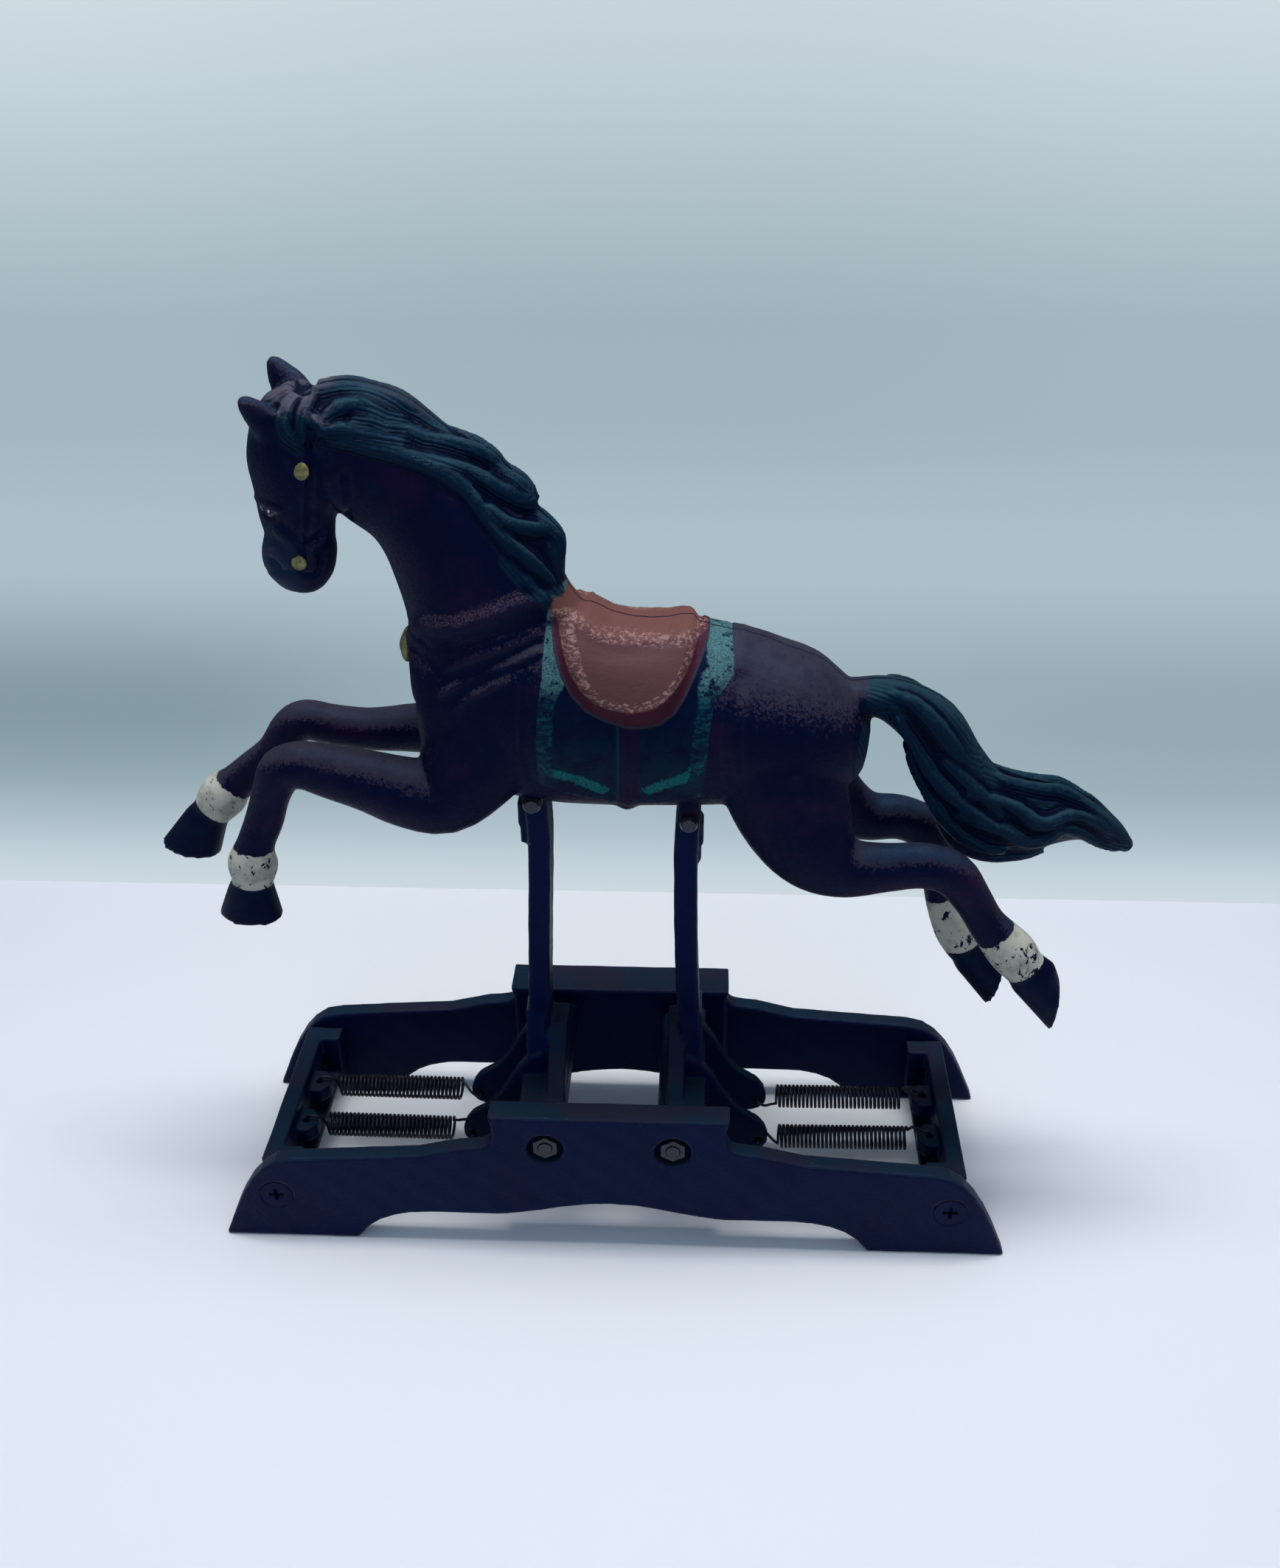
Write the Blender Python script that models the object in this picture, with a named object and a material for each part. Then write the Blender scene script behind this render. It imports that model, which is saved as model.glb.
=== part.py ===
"""Cast iron toy horse on two sprung levers in a slotted frame.

The horse looks towards -X and its left side is -Y. All sizes are millimetres, measured from the floor
under the middle of the base; MM turns them into metres as they enter a mesh.
"""
import math

import bmesh
import bpy
from mathutils import Matrix, Vector
from mathutils.geometry import interpolate_bezier

MM = 0.001

# Base
BASE_LENGTH = 242.0
BASE_WIDTH = 74.4
CLEARANCE = 0.3
CAST_EDGE = 0.5

# Side rails
RAIL_THICKNESS = 5.5
FOOT_LENGTH = 42.0
SHOULDER_RUN = 24.5
SHOULDER_HEIGHT = 32.4
WAIST_HEIGHT = 11.5
ARCH_HEIGHT = 17.0
PAD_LENGTH = 70.0
PAD_HEIGHT = 51.5
PAD_FLARE = 1.0
PAD_FOOT_HEIGHT = 39.2
LEFT_PAD_DEPTH = 8.2
RIGHT_PAD_DEPTH = 13.4

# Lower pivots: a long bolt with its head in the right rail and a nut in the left one
PIVOT_SPACING = 38.2
PIVOT_HEIGHT = 39.5
PIVOT_BOLT_DIAMETER = 4.0
RECESS_DIAMETER = 10.9
RECESS_DEPTH = 3.5
NUT_FLATS = 7.0
NUT_THICKNESS = 2.6
BOLT_END = 0.6

# Cross pieces and the screws that hold them
CROSS_THICKNESS = 5.7
CROSS_OUTSET = 13.0
CROSS_BOTTOM = 9.0
CROSS_TOP = 27.0
FLANGE_HEIGHT = 3.0
FLANGE_REACH = 5.0
BOSS_REACH = 6.2
BOSS_DEPTH = 6.5
LUG_REACH = 6.6
LUG_WIDTH = 10.0
LUG_TOP = 22.5
LUG_HEIGHT = 5.2
LUG_HOLE_DIAMETER = 2.3
LUG_HOLE_INSET = 2.7
END_SCREW_DIAMETER = 5.0
END_SCREW_HEAD_DIAMETER = 10.0
END_SCREW_HEAD_DEPTH = 2.6
END_SCREW_LENGTH = 11.0
END_SCREW_INSET = 18.0
END_SCREW_HEIGHT = 17.6
CONE_OVERRUN = 0.4
END_SLOT_DEPTH = 1.6
END_SLOT_HALVES = (2.4, 0.6)

# Levers, measured outwards and upwards from the lower pivot
POST_DEPTH = 12.6
FOOT_OUT = 5.2
PIN_HEIGHT = 104.2
REAR_PIN_DROP = 5.4
ARM_OFFSET = 9.2
ARM_THICKNESS = 3.6
ARM_TIP = (26.4, -19.5)
HUB_TOP = 6.0
HUB_DEPTH = 6.5
WEB_TOP = 22.0
WEB_TOP_WIDTH = 9.4
WEB_SLOPE_WIDTH = 17.8
STOP_DEPTH = 6.0
STOP_STEP = 0.6
STOP_LEVELS = (-4.0, -11.6, -17.8)
LEVERS = {
    "front": {"side": -1, "half_width": 3.2, "pin_out": 1.9, "pin_drop": 0.0, "middle_out": 2.7,
              "stop_out": 5.3, "hub": (-5.1, 8.9), "web": (-4.7, 0.7)},
    "rear": {"side": 1, "half_width": 3.4, "pin_out": 3.55, "pin_drop": REAR_PIN_DROP, "middle_out": 3.0,
             "stop_out": 4.2, "hub": (-2.4, 9.3), "web": (-2.2, 2.9)},
}

# Springs
WIRE_DIAMETER = 1.15
SPRING_DIAMETER = 7.7
SPRING_CURLS = 15
POINTS_PER_CURL = 8
SPRING_HOLE_DIAMETER = 2.4
COIL_TO_LUG = 7.0
COIL_TO_TIP = 6.4

# Top pins, in belly lugs on each half of the horse
TOP_PIN_DIAMETER = 3.0
TOP_PIN_HEAD_DIAMETER = 5.2
TOP_PIN_HEAD_DEPTH = 1.2
OPEN_PIVOT_CLEARANCE = 0.5
BELLY_LUG_THICKNESS = 3.7
BELLY_LUG_RADIUS = 2.8
BELLY_LUG_RISE = 9.0
SWING_ROOM = 2.9
SLOT_DROP = 14.0
SLOT_RISE = 10.0

# Horse: both castings share the middle plane
WALL = 4.0
VOXEL = 1.4
HORSE_FACETS = 2700
BODY_SCREW_DIAMETER = 3.6
BODY_SCREW_HEAD_DIAMETER = 6.6
BODY_SCREW_HEAD_DEPTH = 2.4
BODY_SCREW_BOSS_DIAMETER = 10.0
BODY_SCREW_GRIP = 9.0
BODY_SCREW_SEAT = 12.0
BODY_SCREWS = {"front": (-27.0, 181.0), "rear": (49.0, 170.0)}
HORSE_DATUM = (0.825, 0.0, 141.0)

# Stations along the horse: x, y, z, then half the depth and half the width of the section there
TRUNK = [
    (-53.0, 0, 184.0, 11.0, 6.5),
    (-50.5, 0, 182.0, 18.0, 11.5),
    (-44.0, 0, 178.0, 25.0, 15.5),
    (-34.0, 0, 174.4, 29.0, 18.5),
    (-22.0, 0, 172.8, 29.4, 20.0),
    (-9.0, 0, 170.6, 29.4, 20.2),
    (3.0, 0, 168.9, 27.6, 20.4),
    (14.0, 0, 168.1, 26.4, 20.6),
    (28.0, 0, 167.8, 25.6, 20.8),
    (44.0, 0, 166.2, 24.2, 20.6),
    (56.0, 0, 163.0, 21.0, 19.4),
    (65.5, 0, 160.2, 15.6, 15.0),
    (71.5, 0, 159.0, 8.5, 8.0),
]
NECK = [
    (-31.0, 0, 181.0, 22.6, 17.0),
    (-31.0, 0, 199.0, 21.9, 15.2),
    (-37.2, 0, 217.9, 20.2, 13.0),
    (-46.4, 0, 230.8, 17.8, 11.0),
    (-58.0, 0, 239.6, 17.2, 9.4),
    (-68.5, 0, 246.5, 12.4, 8.4),
    (-74.0, 0, 249.0, 9.0, 7.4),
]
HEAD = [
    (-71.9, 0, 252.5, 7.4, 6.6),
    (-76.4, 0, 248.0, 10.6, 8.6),
    (-77.7, 0, 240.0, 12.6, 9.6),
    (-78.4, 0, 232.0, 11.7, 9.0),
    (-79.3, 0, 225.0, 10.4, 7.6),
    (-79.0, 0, 219.0, 9.2, 6.6),
    (-80.2, 0, 212.7, 9.6, 6.8),
    (-80.9, 0, 207.3, 7.9, 6.0),
    (-81.6, 0, 204.2, 4.7, 4.0),
]
CHIN = [
    (-74.5, 0, 222.0, 4.2, 4.5),
    (-73.6, 0, 216.0, 4.6, 5.0),
    (-74.8, 0, 210.0, 4.4, 4.8),
    (-77.4, 0, 206.5, 3.4, 3.6),
]
EARS = {
    "left": [
        (-80.6, -5, 247.4, 5.2, 3.6),
        (-83.2, -6.2, 251.8, 4.4, 2.9),
        (-85.6, -7, 254.9, 3.2, 2.3),
        (-86.9, -7.5, 256.8, 2.0, 1.6),
        (-87.4, -7.7, 257.7, 0.8, 0.8),
    ],
    "right": [
        (-75.9, 5, 250.0, 6.0, 3.8),
        (-78.4, 6.2, 255.4, 5.2, 3.2),
        (-80.5, 6.9, 258.8, 3.8, 2.5),
        (-82.0, 7.3, 261.6, 2.2, 1.8),
        (-82.5, 7.4, 263.0, 0.9, 0.9),
    ],
}
LEGS = {
    "left_fore": [
        (-29.0, -8.5, 170.0, 18.0, 11.0),
        (-37.5, -11, 155.8, 13.6, 9.8),
        (-45.3, -12.6, 147.9, 10.6, 8.8),
        (-55.8, -13, 149.6, 9.8, 8.4),
        (-65.3, -13, 152.7, 8.5, 7.4),
        (-75.2, -13, 155.3, 7.5, 6.6),
        (-83.0, -13, 157.0, 7.0, 6.0),
        (-89.0, -13, 155.2, 6.5, 5.6),
        (-92.9, -13, 148.0, 5.4, 5.0),
        (-96.5, -13, 139.6, 4.9, 4.6),
        (-99.7, -13, 131.0, 5.4, 5.0),
        (-101.4, -13, 124.6, 7.2, 6.0),
        (-102.1, -13, 118.6, 5.8, 5.4),
    ],
    "right_fore": [
        (-30.0, 8.5, 171.0, 18.0, 11.0),
        (-40.0, 11, 159.5, 12.0, 9.4),
        (-50.9, 12.6, 155.6, 8.0, 8.0),
        (-59.6, 13, 154.8, 6.9, 6.8),
        (-70.4, 13, 154.3, 6.2, 6.2),
        (-81.0, 13, 155.6, 6.0, 5.8),
        (-88.3, 13, 157.0, 6.0, 5.6),
        (-94.0, 13, 154.6, 6.2, 5.4),
        (-99.8, 13, 147.4, 5.4, 4.8),
        (-106.0, 13, 140.9, 5.0, 4.4),
        (-111.7, 13, 135.6, 5.6, 4.8),
        (-116.2, 13, 131.3, 7.2, 6.0),
        (-120.6, 13, 125.6, 5.8, 5.4),
    ],
    "left_hind": [
        (45.0, -8, 161.0, 18.4, 12.5),
        (49.4, -10.5, 146.6, 17.0, 11.2),
        (54.8, -12.5, 136.0, 14.6, 10.0),
        (60.8, -13.6, 130.0, 11.8, 8.4),
        (67.8, -14, 127.0, 9.0, 7.0),
        (78.0, -14, 127.2, 7.2, 6.0),
        (87.8, -14, 127.6, 6.5, 5.4),
        (96.3, -14, 125.4, 6.6, 5.2),
        (102.4, -14, 117.4, 5.6, 4.8),
        (107.6, -14, 108.8, 5.5, 4.9),
        (115.4, -14, 99.4, 7.0, 6.0),
        (120.2, -14, 92.8, 5.9, 5.3),
    ],
    "right_hind": [
        (46.0, 8, 161.0, 18.4, 12.5),
        (54.0, 10.5, 147.0, 15.0, 11.0),
        (63.0, 12.8, 134.4, 11.0, 8.8),
        (74.1, 14, 127.0, 7.8, 6.8),
        (84.5, 14, 126.5, 6.9, 5.8),
        (93.0, 14, 121.8, 6.6, 5.2),
        (98.0, 14, 110.6, 5.2, 4.7),
        (101.2, 14, 97.2, 4.9, 4.6),
        (105.0, 14, 86.6, 6.2, 5.6),
        (108.7, 14, 78.6, 5.4, 5.0),
    ],
}
HOOVES = {
    "left_fore": {
        "stations": [(-102.2, -13, 119.4, 5.5, 5.0),
                     (-103.1, -13, 115.2, 6.5, 5.8),
                     (-104.9, -13, 105.8, 8.7, 6.8)],
        "sole": (-0.1, 0, -1),
    },
    "right_fore": {
        "stations": [(-119.8, 13, 126.8, 5.3, 5.0),
                     (-123.2, 13, 122.4, 6.2, 5.8),
                     (-129.9, 13, 111.8, 8.4, 6.8)],
        "sole": (-0.25, 0, -1),
    },
    "left_hind": {
        "stations": [(119.2, -14, 93.8, 5.4, 5.0),
                     (122.2, -14, 89.6, 6.3, 5.6),
                     (130.4, -14, 80.0, 8.7, 6.6)],
        "sole": (1, 0, -0.05),
    },
    "right_hind": {
        "stations": [(107.9, 14, 80.0, 5.3, 5.0),
                     (110.8, 14, 75.4, 6.0, 5.4),
                     (118.4, 14, 66.2, 7.8, 6.4)],
        "sole": (1, 0, -0.3),
    },
}
TAIL = [
    (60.0, 0, 175.0, 4.6, 6.0),
    (68.0, 0, 174.6, 5.0, 6.0),
    (77.4, 0, 172.2, 6.4, 6.4),
    (88.0, 0, 165.0, 8.2, 7.0),
    (94.4, 0, 154.8, 9.6, 7.4),
    (100.0, 0, 145.0, 10.6, 8.0),
    (107.0, 0, 138.0, 11.8, 8.2),
    (117.5, 0, 136.8, 10.4, 7.8),
    (126.4, 0, 137.2, 8.2, 6.6),
    (134.4, 0, 136.0, 6.0, 5.0),
    (142.0, 0, 131.8, 4.4, 3.6),
    (148.0, 0, 127.4, 1.8, 1.7),
]
MANE_BED = [
    (-73.0, 0, 251.0, 4.0, 5.5),
    (-69.0, 0, 253.2, 4.6, 6.0),
    (-58.0, 0, 254.2, 4.6, 6.0),
    (-49.5, 0, 249.6, 4.8, 5.8),
    (-41.0, 0, 242.6, 4.8, 5.6),
    (-32.0, 0, 236.6, 5.0, 5.6),
    (-24.2, 0, 228.8, 5.0, 5.0),
    (-20.0, 0, 221.8, 4.6, 4.8),
    (-16.0, 0, 216.0, 4.4, 4.6),
    (-15.8, 0, 208.0, 4.0, 5.4),
]

# Locks of hair on the left side, mirrored to the right: the route, then the lock's half thickness
LOCKS = [
    ([(-70, -2.5, 254.5), (-60, -2.5, 255.6), (-50.5, -2.5, 252), (-42, -2.5, 245.6),
      (-35.5, -2, 241.4)], 3.0),
    ([(-68.5, -7, 249), (-63, -6, 253.2), (-55.8, -5.6, 252.2), (-48.6, -5.4, 249.2)], 2.3),
    ([(-68, -7, 249), (-58, -8, 248.2), (-46, -8, 243.2), (-36, -8, 237.2), (-27, -9, 226.5)], 2.5),
    ([(-48, -4.6, 247), (-38.5, -3.4, 243.6), (-30, -2.6, 240.4), (-26, -2, 237.4)], 3.0),
    ([(-34, -6, 237.6), (-27, -4.8, 233), (-22, -3.2, 229.4), (-18.8, -2.2, 229.8)], 2.8),
    ([(-28.4, -8.2, 230), (-22, -7, 224.4), (-16, -3.4, 221.6), (-13, -2.2, 219.4)], 2.6),
    ([(-26, -9.4, 223.4), (-20, -8.4, 217), (-14.6, -5.8, 209)], 2.5),
    ([(-19, -2, 225.2), (-13.8, -2, 221.8), (-12.8, -2, 215), (-13.8, -2, 208.6)], 2.8),
    ([(-73.5, -3.4, 255), (-76.4, -7, 250.8), (-74.4, -8, 246.2)], 2.3),
    ([(76, -4, 175.4), (87, -5.4, 169), (98, -4.6, 158), (104, -3, 153)], 2.8),
    ([(79, -5.4, 169.4), (88.6, -6.2, 156), (99.6, -7.6, 144.4), (107, -7.4, 139)], 2.7),
    ([(85, -3.2, 155), (93.2, -5.8, 141), (106, -6.4, 130.6), (114, -5.8, 129.4)], 2.6),
    ([(92, -2.6, 141), (102, -2.6, 128.2), (112, -2.2, 125.6), (123, -1.8, 127.2)], 2.9),
    ([(102, -2.4, 152.6), (118.6, -2.2, 146.2), (132, -1.8, 141.6), (144, -1.6, 131.8)], 2.5),
    ([(98.6, -7.2, 145), (112, -7, 138.6), (125, -6.4, 136.4), (134, -5, 136.4),
      (144, -2.2, 128.4)], 2.5),
]
LOCK_TAPER = [0.75, 1.1, 1.0, 0.85, 0.55]
LOCK_WIDTH = 1.25
LOCK_RISE = 0.8

# The breast strap's route on the left side, and its boss at the middle of the chest
BREAST_STRAP = [(-52.6, -2, 189.5), (-50.0, -8.4, 194.0), (-44.0, -13.2, 197.4), (-35.0, -15.0, 199.4),
                (-25.0, -13.8, 202.4), (-15.0, -9.0, 204.6)]
STRAP_HALF_WIDTH = 3.2
STRAP_HALF_THICKNESS = 1.7
BREAST_BOSS = [(-48.0, 0, 188.0, 5.2, 4.6), (-54.4, 0, 188.0, 5.2, 4.6), (-55.6, 0, 188.0, 3.6, 3.2)]

# Saddle and blanket, cast proud of the trunk
BLANKET_RISE = 1.1
BLANKET_OUTLINE = [(-11.4, 206.0), (-13.8, 196.0), (-15.0, 186.0), (-16.8, 170.0), (-17.2, 155.5),
                   (-8.5, 151.0), (6.0, 146.6), (16.0, 147.8), (27.6, 151.6), (28.6, 164.0), (29.4, 180.0),
                   (32.6, 189.0), (31.6, 206.0)]
SADDLE_OUTLINE = [(-10.6, 208.0), (-9.6, 196.0), (-7.4, 186.8), (-2.2, 178.4), (4.0, 175.0),
                  (11.0, 174.0), (17.0, 176.6), (23.0, 184.0), (26.4, 193.0), (27.2, 208.0)]
SADDLE = [
    (-12.0, 0, 171.6, 34.2, 22.6),
    (-9.5, 0, 171.2, 33.2, 22.7),
    (-4.3, 0, 170.6, 29.8, 22.8),
    (0.8, 0, 170.1, 29.0, 22.9),
    (6.0, 0, 169.6, 28.4, 23.0),
    (11.0, 0, 169.1, 28.0, 23.1),
    (16.0, 0, 168.9, 27.9, 23.2),
    (21.0, 0, 168.7, 27.7, 23.3),
    (24.5, 0, 168.5, 27.0, 23.3),
    (28.5, 0, 168.3, 26.2, 22.6),
]
GIRTH = [(5.6, -19.0, 174.0), (6.0, -20.4, 166.0), (6.4, -17.0, 154.0), (6.0, -10.6, 146.0),
         (5.6, -5.0, 142.6)]
GIRTH_HALF_WIDTH = 2.6


def clear_scene():
    for obj in list(bpy.data.objects):
        bpy.data.objects.remove(obj)


def new_solid(bm, name="solid"):
    """Turn a bmesh into an object with its faces pointing out."""
    bmesh.ops.recalc_face_normals(bm, faces=bm.faces[:])
    mesh = bpy.data.meshes.new(name)
    bm.to_mesh(mesh)
    bm.free()
    solid = bpy.data.objects.new(name, mesh)
    bpy.context.scene.collection.objects.link(solid)
    return solid


def bake(solid):
    """Replace a solid's mesh by what its modifiers make of it."""
    evaluated = solid.evaluated_get(bpy.context.evaluated_depsgraph_get())
    mesh = bpy.data.meshes.new_from_object(evaluated)
    solid.modifiers.clear()
    solid.data = mesh
    return solid


def combine(base, others, operation):
    """Unite, cut or intersect base with other solids, which are used up."""
    for other in others:
        step = base.modifiers.new(operation, "BOOLEAN")
        step.operation = operation
        step.solver = "EXACT"
        step.object = other
    bake(base)
    for other in others:
        bpy.data.objects.remove(other)
    return base


def unite(base, *others):
    return combine(base, others, "UNION")


def cut(base, *others):
    return combine(base, others, "DIFFERENCE")


def keep_inside(base, other):
    return combine(base, [other], "INTERSECT")


def new_verts(made):
    """The vertices that an extrusion has just made."""
    return [item for item in made["geom"] if isinstance(item, bmesh.types.BMVert)]


def bend(start, start_pull, end_pull, end, steps=6):
    """Points along a cubic curve, without its last one, so that runs can follow each other."""
    controls = [Vector((u, w, 0)) for u, w in (start, start_pull, end_pull, end)]
    return [(point.x, point.y) for point in interpolate_bezier(*controls, steps + 1)[:-1]]


def arc(centre, radius, first_degrees, last_degrees, steps=8):
    """Points along a round arc, both ends included."""
    angles = [math.radians(first_degrees + (last_degrees - first_degrees) * step / steps)
              for step in range(steps + 1)]
    return [(centre[0] + radius * math.cos(angle), centre[1] + radius * math.sin(angle))
            for angle in angles]


def refine(stations, steps):
    """Stations on a smooth curve through the given ones."""
    padded = [stations[0], *stations, stations[-1]]
    finer = []
    for before, start, end, after in zip(padded, padded[1:], padded[2:], padded[3:]):
        for step in range(steps):
            t = step / steps
            finer.append(tuple(
                0.5 * (2 * s + (e - b) * t + (2 * b - 5 * s + 4 * e - a) * t ** 2
                       + (3 * s - b - 3 * e + a) * t ** 3)
                for b, s, e, a in zip(before, start, end, after)))
    finer.append(tuple(stations[-1]))
    return finer


def extrude(outline, plane, low, high, low_edge=0.0, high_edge=0.0):
    """Extrude a closed outline in the XZ or YZ plane from low to high, with its cap edges broken."""
    normal_axis = 1 if plane == "XZ" else 0
    bm = bmesh.new()
    corners = []
    for u, w in outline:
        corner = Vector((u, low, w)) if plane == "XZ" else Vector((low, u, w))
        corners.append(bm.verts.new(corner * MM))
    made = bmesh.ops.extrude_face_region(bm, geom=[bm.faces.new(corners)])
    travel = Vector((0, 0, 0))
    travel[normal_axis] = (high - low) * MM
    bmesh.ops.translate(bm, verts=new_verts(made), vec=travel)
    for cap, edge_size in ((low, low_edge), (high, high_edge)):
        if edge_size:
            rim = [edge for edge in bm.edges
                   if all(abs(vert.co[normal_axis] - cap * MM) < 1e-7 for vert in edge.verts)]
            bmesh.ops.bevel(bm, geom=rim, offset=edge_size * MM, offset_type="OFFSET", segments=1,
                            profile=0.5, affect="EDGES", material=-1, clamp_overlap=True)
    return new_solid(bm)


def block(low, high):
    """A box between two corners."""
    outline = [(low[0], low[2]), (high[0], low[2]), (high[0], high[2]), (low[0], high[2])]
    return extrude(outline, "XZ", low[1], high[1])


def bar(start, end, radius, end_radius=None, sides=20):
    """A round bar or cone from start to end."""
    start = Vector(start)
    end = Vector(end)
    along = end - start
    turn = along.to_track_quat("Z", "Y").to_matrix().to_4x4()
    if end_radius is None:
        end_radius = radius
    bm = bmesh.new()
    bmesh.ops.create_cone(bm, cap_ends=True, segments=sides, radius1=radius * MM, radius2=end_radius * MM,
                          depth=along.length * MM, matrix=Matrix.Translation((start + end) / 2 * MM) @ turn)
    return new_solid(bm)


def loft(stations, sides=14, end_along=None):
    """A closed form through elliptical sections that stand square to the path."""
    bm = bmesh.new()
    centres = [Vector(station[:3]) for station in stations]
    last = len(stations) - 1
    previous_edges = None
    for index, station in enumerate(stations):
        along = (centres[min(index + 1, last)] - centres[max(index - 1, 0)]).normalized()
        if index == last and end_along:
            along = Vector(end_along).normalized()
        side = (Vector((0, 1, 0)) - along * along.y).normalized()
        deep = along.cross(side)
        section = Matrix((deep * station[3], side * station[4], along)).transposed().to_4x4()
        section.translation = centres[index]
        ring = bmesh.ops.create_circle(bm, segments=sides, radius=1.0, cap_ends=index in (0, last),
                                       matrix=Matrix.Scale(MM, 4) @ section)
        edges = list({edge for vert in ring["verts"] for edge in vert.link_edges})
        if previous_edges:
            bmesh.ops.bridge_loops(bm, edges=previous_edges + edges)
        previous_edges = edges
    return new_solid(bm)


def gather(solids):
    """One mesh that holds several overlapping solids, ready for a voxel remesh."""
    bm = bmesh.new()
    for solid in solids:
        bm.from_mesh(solid.data)
        bpy.data.objects.remove(solid)
    return new_solid(bm)


def paint(name, colour, roughness, metallic=0.0):
    material = bpy.data.materials.new(name)
    material.use_nodes = True
    shader = material.node_tree.nodes["Principled BSDF"]
    shader.inputs["Base Color"].default_value = (*colour, 1.0)
    shader.inputs["Roughness"].default_value = roughness
    shader.inputs["Metallic"].default_value = metallic
    material.diffuse_color = (*colour, 1.0)
    return material


def carrier(name, position, parent=None):
    """An empty that carries pieces, on their joint's axis where they move."""
    empty = bpy.data.objects.new(name, None)
    bpy.context.scene.collection.objects.link(empty)
    empty["place"] = position
    base = Vector(parent["place"]) if parent else Vector((0, 0, 0))
    empty.location = (Vector(position) - base) * MM
    empty.parent = parent
    return empty


def finish(solid, name, material, carried_by):
    """Name and paint a solid and hang it on its carrier."""
    solid.name = name
    solid.data.name = name
    if solid.type == "MESH":
        solid.data.shade_smooth()
        solid.data.set_sharp_from_angle(angle=math.radians(35))
    solid.data.materials.clear()
    solid.data.materials.append(material)
    solid.data.transform(Matrix.Translation(Vector(carried_by["place"]) * -MM))
    solid.parent = carried_by
    return solid


def pivot_point(lever):
    return lever["side"] * PIVOT_SPACING / 2, PIVOT_HEIGHT


def pin_point(lever):
    x = lever["side"] * (PIVOT_SPACING / 2 + lever["pin_out"])
    return x, PIVOT_HEIGHT + PIN_HEIGHT - lever["pin_drop"]


def horse_offset():
    """The move from the horse's drawn place to its place on the top pins."""
    pins = [pin_point(lever) for lever in LEVERS.values()]
    middle = Vector((sum(x for x, z in pins) / 2, 0, sum(z for x, z in pins) / 2))
    return middle - Vector(HORSE_DATUM)


def rail_faces(side):
    """The y of a rail's outer face, inner face and pad face; side is -1 for the left rail."""
    pad_depth = LEFT_PAD_DEPTH if side < 0 else RIGHT_PAD_DEPTH
    outer = side * BASE_WIDTH / 2
    return outer, outer - side * RAIL_THICKNESS, outer - side * pad_depth


def rail_runs():
    """Three runs down the rail's right half: the pad's side, the wing with its foot, half of the arch."""
    half = BASE_LENGTH / 2
    pad = PAD_LENGTH / 2
    shoulder = half - SHOULDER_RUN
    foot = half - FOOT_LENGTH
    run = shoulder - pad
    sweep = (pad + run / 2, SHOULDER_HEIGHT + 1.7)
    side_foot = (pad, PAD_FOOT_HEIGHT + 5)
    ledge = (pad + 5, PAD_FOOT_HEIGHT)
    waist = (foot - 23, WAIST_HEIGHT)
    pad_side = [(pad + PAD_FLARE, PAD_HEIGHT), (pad, PAD_HEIGHT - 4), side_foot]
    wing = bend(side_foot, (pad, PAD_FOOT_HEIGHT + 2), (pad + 2, PAD_FOOT_HEIGHT), ledge, 3)
    wing += bend(ledge, (pad + run * 0.2, PAD_FOOT_HEIGHT), (pad + run * 0.32, sweep[1] + 1), sweep, 4)
    wing += bend((shoulder, SHOULDER_HEIGHT), (half - 11.4, SHOULDER_HEIGHT), (half - 5.0, 12.0),
                 (half, 0), 7)
    wing += [(half, 0)]
    wing += bend((foot, 0), (foot - 5, 8.5), (foot - 13, WAIST_HEIGHT), waist, 5)
    wing += [waist, (pad, WAIST_HEIGHT)]
    arch = bend((pad, WAIST_HEIGHT), (pad - 14, WAIST_HEIGHT + 1), (14, ARCH_HEIGHT), (0, ARCH_HEIGHT), 5)
    return pad_side, wing, arch


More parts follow.
